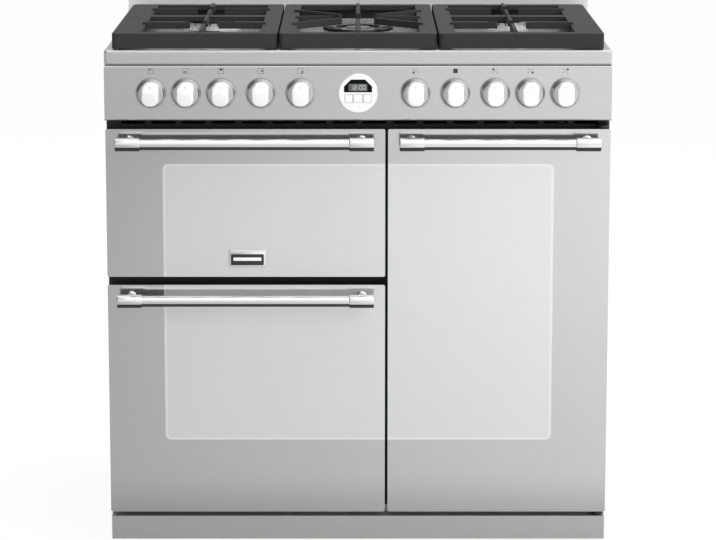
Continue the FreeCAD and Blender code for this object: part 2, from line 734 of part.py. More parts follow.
def fan_baffles():
    """A slotted cover in front of each fan, standing off the oven's rear wall."""
    items = []
    for door in ("lower", "right"):
        x, z = oven_limits(door)
        body = new_body(f"{OVENS[door]}_baffle")
        wide, tall = mm.baffle_width / 2, mm.baffle_height / 2
        pad(body, sketched(body, "XZ_Plane", -mm.baffle_depth, [rectangle((-wide, wide), (-tall, tall))]),
            mm.baffle_depth)
        shelled(body, faces_toward("y", 1, 0), mm.baffle_sheet)
        start = -mm.baffle_depth - mm.overrun
        depth = mm.baffle_sheet + 2 * mm.overrun
        pocket(body, sketched(body, "XZ_Plane", start, [], [((0, 0), mm.baffle_window)]), depth)
        slot = rectangle((mm.baffle_slot_radius - mm.baffle_slot_long / 2,
                          mm.baffle_slot_radius + mm.baffle_slot_long / 2),
                         (-mm.baffle_slot_wide / 2, mm.baffle_slot_wide / 2))
        cut = pocket(body, sketched(body, "XZ_Plane", start, [slot]), depth)
        in_ring(body, cut, "Y_Axis", 12)
        items.append(place(body, middle(x), frame_y + mm.oven_depth, middle(z)))
    return grouped("fan_baffles", items)


def oven_fan(door):
    """A fan wheel: a disc with blades toward the oven and a hub that runs on the motor's shaft."""
    x, z = oven_limits(door)
    body = new_body(OVENS[door] + "_fan")
    disc = -mm.fan_gap
    sketch = sketched(body, "XZ_Plane", disc - mm.fan_sheet, [], [((0, 0), mm.fan_disc)])
    pad(body, sketch, mm.fan_sheet)
    rim = mm.fan_disc / 2
    blade = rectangle((rim - mm.fan_blade_long, rim - mm.fan_sheet), (0, mm.fan_sheet))
    cut = pad(body, sketched(body, "XZ_Plane", disc - mm.fan_sheet, [blade]), mm.fan_blade_high, toward=-1)
    in_ring(body, cut, "Y_Axis", 12)
    hub = sketched(body, "XZ_Plane", disc - mm.fan_sheet, [], [((0, 0), mm.fan_hub)])
    pad(body, hub, mm.fan_blade_high, toward=-1)
    bore = sketched(body, "XZ_Plane", disc + mm.overrun, [], [((0, 0), mm.fan_shaft + 2 * mm.fan_fit)])
    pocket(body, bore, mm.fan_blade_high + mm.fan_sheet + 2 * mm.overrun, toward=-1)
    return place(body, middle(x), frame_y + mm.oven_depth, middle(z))


def fan_motors():
    """Two motors on the ovens' rear walls, each with its shaft through the wall."""
    items = []
    for door in ("lower", "right"):
        x, z = oven_limits(door)
        body = new_body(f"{OVENS[door]}_motor")
        wall, neck = mm.oven_wall, mm.motor_neck / 2
        shaft, can = mm.fan_shaft / 2, mm.motor_body / 2
        tip = -(mm.fan_gap + mm.fan_blade_high)
        rear = wall + mm.motor_neck_long + mm.motor_long
        profile = [(0, tip), (shaft, tip), (shaft, 0), (neck, 0), (neck, wall), (can, wall),
                   (can, rear), (0, rear)]
        revolved(body, sketched(body, "XY_Plane", 0, [profile]))
        items.append(place(body, middle(x), frame_y + mm.oven_depth, middle(z)))
    return grouped("fan_motors", items)


# doors


def door_glass(door):
    """The outer glass that makes the whole face of the door."""
    x, z = DOORS[door]
    body = new_body(f"{door}_door_glass")
    pad(body, sketched(body, "XZ_Plane", face_y, [rectangle(x, z)]), mm.door_glass)
    rounded(body, lambda edge: lies_along(edge, "y"), mm.glass_corner)
    return body


def hinge_spots():
    """The middles of the two hinges of the drop-down doors, across the cooker."""
    return (left_door[0] + mm.hinge_inset, left_door[1] - mm.hinge_inset)


def door_panel(door):
    """The pressed inner tray of a door, with its window and the seats of its hinges."""
    x, z = DOORS[door]
    x, z = grown(x, -mm.panel_inset), grown(z, -mm.panel_inset)
    body = new_body(f"{door}_door_panel")
    front = face_y + mm.door_glass
    depth = mm.door_depth - mm.door_glass
    pad(body, sketched(body, "XZ_Plane", front, [rectangle(x, z)]), depth)
    rounded(body, lambda edge: lies_along(edge, "y"), mm.panel_corner)
    shelled(body, faces_toward("y", -1, front), mm.door_sheet)
    window = rectangle(grown(x, -mm.window_side), grown(z, -mm.window_rim))
    back_wall = door_back_y - mm.door_sheet
    pocket(body, sketched(body, "XZ_Plane", back_wall - mm.overrun, [window]), mm.door_sheet + 2 * mm.overrun)
    if door == "right":
        side_hung_seats(body, x, z)
    else:
        drop_down_seats(body, z)
    return body


def drop_down_seats(body, z):
    """Ears with a bore for each hinge pin, and a notch between them for the hinge plate."""
    pin_z = z[0] - mm.panel_inset + mm.hinge_rise
    notch_half = mm.hinge_plate / 2 + mm.hinge_notch_gap
    top = pin_z + mm.hinge_pin / 2 + mm.ear_reach
    for at in hinge_spots():
        notch = rectangle((at - notch_half, at + notch_half), (z[0] - mm.overrun, top))
        pocket(body, sketched(body, "XZ_Plane", hinge_y - mm.hinge_pin, [notch]), mm.door_depth)
        for side in (-1, 1):
            inner = at + side * notch_half
            outer = inner + side * mm.hinge_ear
            ear = rectangle((hinge_y - mm.hinge_pin, door_back_y - mm.door_sheet / 2),
                            (z[0] + mm.door_sheet / 2, top))
            low = inner if side > 0 else outer
            pad(body, sketched(body, "YZ_Plane", low, [ear]), mm.hinge_ear)
        bore = sketched(body, "YZ_Plane", at - notch_half - mm.hinge_ear - mm.overrun, [],
                        [((hinge_y, pin_z), mm.hinge_pin + 2 * mm.hinge_fit)])
        pocket(body, bore, 2 * (notch_half + mm.hinge_ear + mm.overrun))


def side_hung_seats(body, x, z):
    """A boss with a bore at the top and at the bottom of the side-hung door."""
    pin_x = x[1] + mm.panel_inset - mm.side_hinge_inset
    around = mm.pivot_boss / 2
    front = face_y + mm.door_glass
    seat = rectangle((pin_x - around, x[1] - mm.door_sheet / 2), (front, hinge_y + around))
    for level, toward in ((z[0] + mm.door_sheet / 2, 1), (z[1] - mm.door_sheet / 2, -1)):
        pad(body, sketched(body, "XY_Plane", level, [seat]), mm.pivot_boss, toward)
        bore = [((pin_x, hinge_y), mm.hinge_pin + 2 * mm.hinge_fit)]
        pocket(body, sketched(body, "XY_Plane", level - toward * mm.overrun, [], bore),
               mm.pivot_depth + mm.overrun, toward)


def door_pane(door):
    """The inner pane, held behind the window's edge inside the door."""
    x, z = DOORS[door]
    x, z = grown(x, -mm.panel_inset), grown(z, -mm.panel_inset)
    lap_x, lap_z = mm.window_side - mm.pane_lap, mm.window_rim - mm.pane_lap
    body = new_body(f"{door}_door_pane")
    back = door_back_y - mm.door_sheet
    sketch = sketched(body, "XZ_Plane", back, [rectangle(grown(x, -lap_x), grown(z, -lap_z))])
    pad(body, sketch, mm.pane_glass, toward=-1)
    return body


def door_handle(door):
    """A round bar in two sleeves, each with a post to the glass."""
    x, z = DOORS[door]
    name = f"{door}_door_handle"
    level = z[1] - mm.handle_drop
    bar_y = face_y - mm.handle_reach + mm.sleeve_width / 2
    left, right = x[0] + mm.handle_margin, x[1] - mm.handle_margin
    items = [rod(name + "_bar", (left, bar_y, level), "x", mm.handle_bar, right - left)]
    for label, start in (("left", left), ("right", right - mm.sleeve_length)):
        body = new_body(f"{name}_{label}_end")
        post = rectangle((0, mm.sleeve_length), (-mm.handle_post / 2, mm.handle_post / 2))
        pad(body, sketched(body, "XZ_Plane", 0, [post]), face_y - bar_y)
        rounded(body, lambda edge: lies_along(edge, "y"), mm.handle_post / 3)
        items.append(place(body, start, bar_y, level))
        items.append(rod(f"{name}_{label}_sleeve", (start, bar_y, level), "x", mm.sleeve_width,
                         mm.sleeve_length))
    return fused(name, items)


def hinge_brackets():
    """Plates with pins for the drop-down doors, and two pivot arms for the side-hung door."""
    items = []
    for door in ("upper", "lower"):
        pin_z = DOORS[door][1][0] + mm.hinge_rise
        for number, at in enumerate(hinge_spots(), start=1):
            name = f"{door}_hinge_{number}"
            reach = mm.hinge_plate / 2 + mm.hinge_notch_gap + mm.hinge_ear
            plate = block(name + "_plate", (at - mm.hinge_plate / 2, at + mm.hinge_plate / 2),
                          (hinge_y, frame_y), (pin_z - mm.hinge_pin / 2, pin_z + mm.hinge_pin / 2))
            nose = rod(name + "_nose", (at - mm.hinge_plate / 2, hinge_y, pin_z), "x", mm.hinge_pin,
                       mm.hinge_plate)
            pin = rod(name + "_pin", (at - reach, hinge_y, pin_z), "x", mm.hinge_pin, 2 * reach)
            items.append(fused(name, [plate, nose, pin]))
    pin_x = right_door[1] - mm.side_hinge_inset
    bottom, top = DOORS["right"][1]
    wide = mm.pivot_arm_width / 2
    for name, low, inward in (("lower_pivot", bottom - mm.pivot_gap - mm.pivot_arm, 1),
                              ("upper_pivot", top + mm.pivot_gap, -1)):
        arm = block(name + "_arm", (pin_x - wide, pin_x + wide), (hinge_y, frame_y), (low, low + mm.pivot_arm))
        end = rod(name + "_end", (pin_x, hinge_y, low), "z", mm.pivot_arm_width, mm.pivot_arm)
        pin_long = mm.pivot_gap + mm.pivot_depth
        pin_low = low + mm.pivot_arm if inward > 0 else low - pin_long
        pin = rod(name + "_pin", (pin_x, hinge_y, pin_low), "z", mm.hinge_pin, pin_long)
        items.append(fused(name, [arm, end, pin]))
    return grouped("hinge_brackets", items)


# hob


def burners():
    """Each burner in the middle of its window: its name, place, cap diameter and flame ports."""
    left, right = (middle(support_window(side)) for side in ("left", "right"))
    front, rear = (middle(window) for window in window_rows())
    return [
        ("front_left", left, front, mm.cap_medium, 16),
        ("rear_left", left, rear, mm.cap_large, 20),
        ("front_right", right, front, mm.cap_small, 12),
        ("rear_right", right, rear, mm.cap_medium, 16),
    ]


def wok_spot():
    return (0, middle(support_y))


def hob_top():
    """The pressed steel hob: lip, raised border, sunken well and rear upstand, all of one sheet."""
    body = new_body("hob_top")
    rear = back_y - mm.upstand_deep
    high = hob_top_z + mm.upstand_high
    profile = [(face_y, hob_z), (back_y, hob_z), (back_y, high), (rear, high), (rear, hob_top_z),
               (face_y, hob_top_z)]
    pad_both_ways(body, sketched(body, "YZ_Plane", 0, [profile]), mm.body_width)
    rounded(body, lambda edge: lies_along(edge, "z") and near(edge.CenterOfMass.y, face_y), mm.hob_corner)
    well = rectangle((-half_width + mm.well_side, half_width - mm.well_side),
                     (face_y + mm.well_front, back_y - mm.well_rear))
    pocket(body, sketched(body, "XY_Plane", hob_top_z, [well]), mm.well_deep, toward=-1)
    rounded(body, lambda edge: lies_along(edge, "z") and near(edge.Length, mm.well_deep), mm.well_corner)
    rounded(body, lambda edge: near(edge.CenterOfMass.z, hob_top_z) and edge.CenterOfMass.y < float(rear) - 1
            and on_border(edge, well), mm.hob_edge)
    shelled(body, faces_toward("z", -1, hob_z), mm.hob_sheet)
    fit = 2 * mm.hob_hole_fit
    holes = [((x, y), cap - 2 * mm.cup_step + fit) for _, x, y, cap, _ in burners()]
    holes.append((wok_spot(), mm.cap_wok - 2 * mm.cup_step + fit))
    pocket(body, sketched(body, "XY_Plane", well_z + mm.overrun, [], holes), mm.hob_sheet + 2 * mm.overrun,
           toward=-1)
    return body


def on_border(edge, well):
    """Whether an edge belongs to the outer border of the hob, not to its well."""
    x, y = abs(edge.CenterOfMass.x), edge.CenterOfMass.y
    outside = x > float(well[1][0]) + 1 or y < float(well[0][1]) - 1
    return outside


def burner_head(name, cap, ports):
    """A cast head: the cup under the hob, a flange on it and a crown with flame ports."""
    body = new_body(f"head_{name}")
    cup = cap / 2 - mm.cup_step
    crown = cap / 2 - mm.cap_overhang
    flange = cap / 2 + mm.burner_flange
    bore = crown - mm.crown_wall
    profile = [(mm.jet_bore / 2, -mm.cup_deep), (cup, -mm.cup_deep), (cup, 0), (flange, 0),
               (flange, mm.burner_flange_high), (crown, mm.burner_flange_high), (crown, mm.crown_high),
               (bore, mm.crown_high), (bore, mm.burner_flange_high), (mm.jet_bore / 2, mm.burner_flange_high)]
    revolved(body, sketched(body, "XZ_Plane", 0, [profile]))
    slot = rectangle((bore - mm.overrun, crown + mm.overrun), (-mm.port_wide / 2, mm.port_wide / 2))
    cut = pocket(body, sketched(body, "XY_Plane", mm.crown_high, [slot]), mm.port_high, toward=-1)
    in_ring(body, cut, "Z_Axis", ports)
    return body


def burner_cap(name, cap):
    """An enamelled lid with a rounded edge and a spigot that drops into the crown."""
    body = new_body(f"cap_{name}")
    inside = cap / 2 - mm.cap_overhang - mm.crown_wall - mm.spigot_fit
    profile = [(0, -mm.spigot_high), (inside, -mm.spigot_high), (inside, 0), (cap / 2, 0),
               (cap / 2, mm.cap_high), (0, mm.cap_high)]
    revolved(body, sketched(body, "XZ_Plane", 0, [profile]))
    chamfered(body, lambda edge: near(edge.CenterOfMass.z, mm.cap_high), mm.cap_edge)
    return body


def wok_head():
    """The double crown of the wok burner: an outer ring and a centre crown on one cup."""
    body = new_body("head_wok")
    outer = mm.cap_wok / 2 - mm.cap_overhang
    cup = mm.cap_wok / 2 - mm.cup_step
    flange = mm.cap_wok / 2 + mm.burner_flange
    inner = mm.cap_wok / 2 - mm.wok_ring_width + mm.cap_overhang
    centre = mm.wok_centre_cap / 2 - mm.cap_overhang
    floor, top = mm.burner_flange_high, mm.crown_high
    profile = [(mm.jet_bore / 2, -mm.cup_deep), (cup, -mm.cup_deep), (cup, 0), (flange, 0), (flange, floor),
               (outer, floor), (outer, top), (inner, top), (inner, floor), (centre, floor), (centre, top),
               (centre - mm.crown_wall, top), (centre - mm.crown_wall, floor), (mm.jet_bore / 2, floor)]
    revolved(body, sketched(body, "XZ_Plane", 0, [profile]))
    slot = rectangle((outer - mm.crown_wall, outer + mm.overrun), (-mm.port_wide / 2, mm.port_wide / 2))
    cut = pocket(body, sketched(body, "XY_Plane", top, [slot]), mm.port_high, toward=-1)
    in_ring(body, cut, "Z_Axis", 24)
    return body


def wok_caps():
    """The ring cap and the centre cap of the wok burner."""
    ring = new_body("cap_wok_ring")
    outer, inner = mm.cap_wok / 2, mm.cap_wok / 2 - mm.wok_ring_width
    revolved(ring, sketched(ring, "XZ_Plane", 0, [rectangle((inner, outer), (0, mm.cap_high))]))
    chamfered(ring, lambda edge: near(edge.CenterOfMass.z, mm.cap_high) and near(edge.Curve.Radius, outer),
              mm.cap_edge)
    centre = burner_cap("wok_centre", mm.wok_centre_cap)
    return [ring, centre]


def burner_heads():
    items = [place(burner_head(name, cap, ports), x, y, well_z) for name, x, y, cap, ports in burners()]
    items.append(place(wok_head(), *wok_spot(), well_z))
    return grouped("burner_heads", items)


def burner_caps():
    level = well_z + mm.crown_high
    items = [place(burner_cap(name, cap), x, y, level) for name, x, y, cap, _ in burners()]
    items += [place(item, *wok_spot(), level) for item in wok_caps()]
    return grouped("burner_caps", items)


def support_frame(name, x, window_x, rows):
    """The cast frame of a pan support: flat rims, an apron below its edge, a rear notch and four feet."""
    body = new_body(name + "_frame")
    pad(body, sketched(body, "XY_Plane", apron_z, [rectangle(x, support_y)]), mm.support_apron)
    rounded(body, lambda edge: lies_along(edge, "z"), mm.support_corner)
    rounded(body, lambda edge: near(edge.CenterOfMass.z, rim_z), mm.support_edge)
    hollow = rectangle(grown(x, -mm.support_wall), grown(support_y, -mm.support_wall))
    pocket(body, sketched(body, "XY_Plane", apron_z, [hollow]), mm.support_apron - mm.support_top)
    loops = [rectangle(window_x, row) for row in rows]
    notch = (middle(window_x) - mm.rear_notch_wide / 2, middle(window_x) + mm.rear_notch_wide / 2)
    loops.append(rectangle(notch, (support_y[1] - mm.rear_notch_deep, support_y[1] + mm.overrun)))
    pocket(body, sketched(body, "XY_Plane", rim_z + mm.overrun, loops),
           mm.support_top + 2 * mm.overrun, toward=-1)
    feet = []
    for at_x in (x[0] + mm.foot_inset, x[1] - mm.foot_inset):
        for at_y in (support_y[0] + mm.foot_inset, support_y[1] - mm.foot_inset):
            around = mm.foot_block / 2
            feet.append(rectangle((at_x - around, at_x + around), (at_y - around, at_y + around)))
    pad(body, sketched(body, "XY_Plane", well_z, feet), rim_z - well_z - mm.support_top / 2)
    return body


def finger(name, start, turn, length):
    """A raised bar that slopes up from the rim and points at the burner; turn is in degrees."""
    item = doc.addObject("Part::Wedge", name)
    bind(item, {"Xmin": 0, "Xmax": length, "X2min": mm.finger_slope, "X2max": length,
                "Ymin": 0, "Ymax": mm.finger_deep,
                "Zmin": -mm.finger_wide / 2, "Zmax": mm.finger_wide / 2,
                "Z2min": -mm.finger_tip / 2, "Z2max": mm.finger_tip / 2})
    stand = Rotation(AXES["x"], 90)
    item.Placement = Placement(Vector(), Rotation(AXES["z"], turn).multiply(stand))
    return place(item, *start, finger_z - mm.finger_deep)


def side_support(side):
    """A side support: a window and four fingers for each of its two burners."""
    name = f"pan_support_{side}"
    window_x = support_window(side)
    items = [support_frame(name, SUPPORTS[side], window_x, window_rows())]
    root, clear = mm.finger_root, mm.finger_clear
    across = (window_x[1] - window_x[0]) / 2 + root - clear
    for label, row in zip(("front", "rear"), window_rows()):
        along = (row[1] - row[0]) / 2 + root - clear
        starts = (
            ("left", (window_x[0] - root, middle(row)), 0, across),
            ("right", (window_x[1] + root, middle(row)), 180, across),
            ("near", (middle(window_x), row[0] - root), 90, along),
            ("far", (middle(window_x), row[1] + root), 270, along),
        )
        for end, start, turn, length in starts:
            items.append(finger(f"{name}_{label}_{end}", start, turn, length))
    return fused(name, items)


def centre_support():
    """The centre support: one long window with eight fingers round the wok burner."""
    name = "pan_support_centre"
    window_x = grown(SUPPORTS["centre"], -mm.support_inner_rim)
    window_y = grown(support_y, -mm.support_rim)
    items = [support_frame(name, SUPPORTS["centre"], window_x, [window_y])]
    root, clear = mm.finger_root, mm.wok_finger_clear
    spot_x, spot_y = wok_spot()
    across = (window_x[1] - window_x[0]) / 2 + root - clear
    along = (window_y[1] - window_y[0]) / 2 + root - clear
    starts = (
        ("left", (window_x[0] - root, spot_y), 0, across),
        ("right", (window_x[1] + root, spot_y), 180, across),
        ("near", (spot_x, window_y[0] - root), 90, along),
        ("far", (spot_x, window_y[1] + root), 270, along),
    )
    for end, start, turn, length in starts:
        items.append(finger(f"{name}_{end}", start, turn, length))
    reach = (window_x[1] - window_x[0]) / 2 + root
    for end, sign_x, sign_y, turn in (("near_left", -1, -1, 45), ("near_right", 1, -1, 135),
                                      ("far_right", 1, 1, 225), ("far_left", -1, 1, 315)):
        start = (spot_x + sign_x * reach, spot_y + sign_y * reach)
        items.append(finger(f"{name}_{end}", start, turn, reach * math.sqrt(2) - clear))
    return fused(name, items)


# controls


def fascia_panel():
    """The folded steel fascia with its rounded edges and the holes for knobs and clock."""
    body = new_body("fascia_panel")
    sketch = sketched(body, "XZ_Plane", face_y, [rectangle((-half_width, half_width), (fascia_z, fascia_top))])
    pad(body, sketch, frame_y - face_y)
    rounded(body, lambda edge: lies_along(edge, "x") and near(edge.CenterOfMass.y, face_y), mm.fascia_edge)
    shelled(body, faces_toward("y", 1, frame_y), mm.fascia_sheet)
    holes = [((x, control_z), mm.knob_hole) for x in knob_centres()]
    holes.append(((0, control_z), mm.clock_face))
    pocket(body, sketched(body, "XZ_Plane", face_y - mm.overrun, [], holes), mm.fascia_sheet + 2 * mm.overrun)
    return body


def knob(number, x, has_shaft):
    """A turned knob with a broad grip bar; an oven knob has its own shaft, a gas knob has a bore."""
    body = new_body(f"knob_{number:02d}")
    skirt, core = mm.knob_skirt / 2, mm.knob_body / 2
    back = -mm.knob_gap
    rim = back - mm.skirt_depth
    front = back - mm.knob_base
    profile = [(0, back), (skirt, back), (skirt, rim), (core, rim - mm.knob_edge), (core - mm.knob_edge, front),
               (0, front)]
    revolved(body, sketched(body, "XY_Plane", 0, [profile]))
    wide, tall = mm.grip_wide / 2, mm.grip_tall / 2
    cut_corner = mm.grip_wide / 4
    grip = [(-wide, -tall + cut_corner), (-wide + cut_corner, -tall), (wide - cut_corner, -tall),
            (wide, -tall + cut_corner), (wide, tall - cut_corner), (wide - cut_corner, tall),
            (-wide + cut_corner, tall), (-wide, tall - cut_corner)]
    tip = front - mm.grip_depth
    pad(body, sketched(body, "XZ_Plane", front, [grip]), mm.grip_depth, toward=-1)
    chamfered(body, lambda edge: near(edge.CenterOfMass.y, tip), mm.knob_round)
    if has_shaft:
        end = frame_back_y + mm.switch_deep / 2 - face_y
        shaft = sketched(body, "XZ_Plane", back, [], [((0, 0), mm.spindle)])
        pad(body, shaft, end - back)
    else:
        bore = sketched(body, "XZ_Plane", back + mm.overrun, [], [((0, 0), mm.spindle + 2 * mm.spindle_fit)])
        pocket(body, bore, mm.spindle_in_knob + mm.overrun, toward=-1)
    return place(body, x, face_y, control_z)


def tap_spindle(number, x):
    """The spindle of a gas tap: it carries the knob and pushes into the tap against a spring."""
    body = new_body(f"tap_spindle_{number:02d}")
    start = -mm.knob_gap - mm.spindle_in_knob
    end = frame_back_y + mm.tap_deep - 2 * mm.push_travel - face_y
    pad(body, sketched(body, "XZ_Plane", start, [], [((0, 0), mm.spindle)]), end - start)
    return place(body, x, face_y, control_z)


def oven_switches():
    """The five rotary controls behind the left knobs, each with a bore for its knob's shaft."""
    items = []
    for number, x in enumerate(knob_centres()[:5], start=1):
        wide, high = mm.switch_wide / 2, mm.switch_high / 2
        case = block(f"switch_case_{number}", (x - wide, x + wide), (frame_back_y, frame_back_y + mm.switch_deep),
                     (control_z - high, control_z + high))
        hole = rod(f"switch_bore_{number}", (x, frame_back_y - mm.overrun, control_z), "y",
                   mm.spindle + 2 * mm.spindle_fit, mm.switch_deep / 2 + 2 * mm.overrun)
        items.append(without(f"switch_{number}", case, [hole]))
    return grouped("oven_switches", items)


def burner_pipes():
    """A pipe from the top of each gas tap to the jet holder under its burner; none crosses another."""
    order = ("front_left", "wok", "rear_left", "front_right", "rear_right")
    spots = {name: (x, y) for name, x, y, _, _ in burners()}
    spots["wok"] = wok_spot()
    pipe, start_y = mm.burner_pipe, frame_back_y + mm.tap_deep / 2
    top = control_z + mm.tap_high / 2
    level = top + mm.burner_pipe_rise
    wide = mm.jet_holder / 2
    pipes = []
    for name, tap_x in zip(order, knob_centres()[5:]):
        x, y = spots[name]
        label = f"burner_pipe_{name}"
        items = [
            rod(label + "_outlet", (tap_x, start_y, top), "z", pipe, level - top),
            rod(label + "_back", (tap_x, start_y, level), "y", pipe, y - start_y),
            block(label + "_holder", (x - wide, x + wide), (y - wide, y + wide),
                  (level - pipe / 2, well_z - mm.cup_deep - mm.jet_holder_gap)),
        ]
        low, high = sorted((tap_x, x), key=float)
        items.append(rod(label + "_across", (low, y, level), "x", pipe, high - low))
        for knee, knee_y in (("first", start_y), ("second", y)):
            ball = doc.addObject("Part::Sphere", f"{label}_{knee}_knee")
            bind(ball, {"Radius": pipe / 2})
            items.append(place(ball, tap_x, knee_y, level))
        pipes.append(fused(label, items))
    return pipes


def gas_rail():
    """The gas supply: rail, five taps with spindle bores, rear run and inlet in one, and the burner pipes."""
    z_low, z_high = control_z - mm.tap_high / 2, control_z + mm.tap_high / 2
    taps, bores = [], []
    for number, x in enumerate(knob_centres()[5:], start=1):
        wide = mm.tap_wide / 2
        taps.append(block(f"tap_{number}", (x - wide, x + wide), (frame_back_y, frame_back_y + mm.tap_deep),
                          (z_low, z_high)))
        bores.append(rod(f"tap_bore_{number}", (x, frame_back_y - mm.overrun, control_z), "y",
                         mm.spindle + 2 * mm.spindle_fit, mm.tap_deep - mm.push_travel / 2 + mm.overrun))
    pipe = mm.gas_pipe
    rail_y = frame_back_y + mm.tap_deep + pipe / 3
    inlet_x, inlet_z = gas_inlet_spot()
    rail = rod("gas_rail_pipe", (knob_centres()[5] - mm.tap_wide / 2, rail_y, inlet_z + mm.gas_inlet_drop), "x",
               pipe, inlet_x - knob_centres()[5] + mm.tap_wide / 2)
    drop = rod("gas_rail_drop", (inlet_x, rail_y, inlet_z), "z", pipe, mm.gas_inlet_drop)
    run = rod("gas_rail_run", (inlet_x, rail_y, inlet_z), "y", pipe, back_y - mm.gas_inlet_long - rail_y)
    knees = []
    for name, level in (("upper", inlet_z + mm.gas_inlet_drop), ("lower", inlet_z)):
        knee = doc.addObject("Part::Sphere", f"gas_rail_{name}_knee")
        bind(knee, {"Radius": pipe / 2})
        knees.append(place(knee, inlet_x, rail_y, level))
    nut = doc.addObject("Part::Prism", "gas_inlet_nut_body")
    nut.Polygon = 6
    nut.Placement = Placement(Vector(), TURN_FROM_Z["y"])
    bind(nut, {"Circumradius": mm.gas_inlet_nut / 2, "Height": mm.gas_inlet_long})
    place(nut, inlet_x, back_y - mm.gas_inlet_long, inlet_z)
    bores.append(rod("gas_inlet_hole", (inlet_x, back_y - mm.gas_inlet_deep, inlet_z), "y", mm.gas_inlet_bore,
                     mm.gas_inlet_deep + mm.overrun))
    solid = fused("gas_rail_body", [rail, drop, run, nut] + taps + knees)
    return grouped("gas_supply", [without("gas_rail", solid, bores)] + burner_pipes())


def terminal_box():
    """The mains terminal box inside the rear panel, with a round boss for the cable."""
    x, z = cable_spot()
    wide, high = mm.terminal_wide / 2, mm.terminal_high / 2
    case = block("terminal_case", (x - wide, x + wide), (rear_inside_y - mm.terminal_deep, rear_inside_y),
                 (z - high, z + high))
    boss = rod("terminal_boss", (x, rear_inside_y - mm.cable_boss_long, z), "y", mm.cable_boss,
               mm.cable_boss_long + mm.rear_sheet)
    bore = rod("terminal_bore", (x, rear_inside_y - mm.cable_boss_long, z), "y", mm.cable_bore,
               mm.cable_boss_long + mm.rear_sheet + mm.overrun)
    return without("terminal_box", fused("terminal_body", [case, boss]), [bore])


def clock_bezel():
    """The bright ring of the clock, with its floor, a bar between display and buttons, and button slots."""
    body = new_body("clock_bezel")
    outer, inner = mm.clock_bezel / 2, mm.clock_face / 2
    front = -mm.bezel_proud
    sketch = sketched(body, "XZ_Plane", front, [], [((0, 0), mm.clock_bezel)])
    pad(body, sketch, mm.bezel_proud)
    chamfered(body, lambda edge: near(edge.CenterOfMass.y, front), mm.bezel_edge)
    plug = sketched(body, "XZ_Plane", 0, [], [((0, 0), mm.clock_face - 2 * mm.button_gap)])
    pad(body, plug, frame_y - face_y)
    wide = mm.display_wide / 2
    sill = mm.display_floor
    window = [(-wide, sill / 2), (wide, sill / 2), (wide, wide / 2), (wide / 2, wide), (-wide / 2, wide),
              (-wide, wide / 2)]
    pocket(body, sketched(body, "XZ_Plane", front, [window]), mm.bezel_proud + mm.display_floor)
    slots = [rectangle(grown(limits, mm.button_gap), button_levels(mm.button_gap)) for limits in button_limits()]
    pocket(body, sketched(body, "XZ_Plane", front - mm.overrun, slots), frame_y - face_y + mm.bezel_proud
           + 2 * mm.overrun)
    return place(body, 0, face_y, control_z)


def button_limits():
    """The three buttons across the clock, each as its left and right limit."""
    half, edge = mm.button_middle / 2, mm.display_wide / 2 - mm.button_inset
    between = 2 * mm.button_gap + mm.button_rim / 2
    return [(-edge, -half - between), (-half, half), (half + between, edge)]


def button_levels(gap=0):
    top = -mm.display_floor / 2
    return (top - mm.button_high - gap, top + gap)


def clock_button(name, limits):
    """A push button with a stem back to the clock's switches."""
    body = new_body(name)
    front = -mm.bezel_proud - mm.button_proud
    pad(body, sketched(body, "XZ_Plane", front, [rectangle(limits, button_levels())]),
        frame_back_y - face_y - 2 * mm.button_travel - front)
    rounded(body, lambda edge: near(edge.CenterOfMass.y, front), mm.button_gap)
    return place(body, 0, face_y, control_z)


def clock_module():
    """The clock's dark display and the box of its works behind the front frame."""
    body = new_body("clock_module")
    wide = mm.display_wide / 2
    sill = mm.display_floor
    gap = mm.button_gap / 2
    lens = [(-wide + gap, sill / 2 + gap), (wide - gap, sill / 2 + gap), (wide - gap, wide / 2 - gap),
            (wide / 2 - gap, wide - gap), (-wide / 2 + gap, wide - gap), (-wide + gap, wide / 2 - gap)]
    front = -mm.bezel_proud + mm.display_recess
    pad(body, sketched(body, "XZ_Plane", front, [lens]), mm.bezel_proud + mm.display_floor - mm.display_recess)
    place(body, 0, face_y, control_z)
    box_wide, box_high = mm.clock_box_wide / 2, mm.clock_box_high / 2
    case = block("clock_case", (-box_wide, box_wide), (frame_back_y, frame_back_y + mm.clock_box_deep),
                 (control_z - box_high, control_z + box_high))
    return grouped("clock_works", [body, case])


def build():
    """Every piece by its node name."""
    pieces = {}
    for make in (side_panels, base_tray, plinth, adjustable_feet, front_frame, back_panel, door_seals,
                 oven_shelves, grill_pan, heating_elements, fan_baffles, fan_motors, hinge_brackets, hob_top,
                 burner_heads, burner_caps, fascia_panel, oven_switches, gas_rail, terminal_box, clock_bezel):
        pieces[make.__name__] = make()
    pieces["clock_display"] = clock_module()
    for door in DOORS:
        pieces[OVENS[door] + "_cavity"] = oven_cavity(door)
        for make in (door_glass, door_panel, door_pane, door_handle):
            pieces[make.__name__.replace("door", f"{door}_door")] = make(door)
    for door in ("lower", "right"):
        pieces["fan_" + OVENS[door]] = oven_fan(door)
    pieces["pan_support_left"] = side_support("left")
    pieces["pan_support_centre"] = centre_support()
    pieces["pan_support_right"] = side_support("right")
    for label, limits in zip(("left", "middle", "right"), button_limits()):
        name = f"timer_button_{label}"
        pieces[name] = clock_button(name, limits)
    for number, x in enumerate(knob_centres(), start=1):
        pieces[f"knob_{number:02d}"] = knob(number, x, has_shaft=number <= 5)
        if number > 5:
            pieces[f"tap_spindle_{number:02d}"] = tap_spindle(number, x)
    return pieces


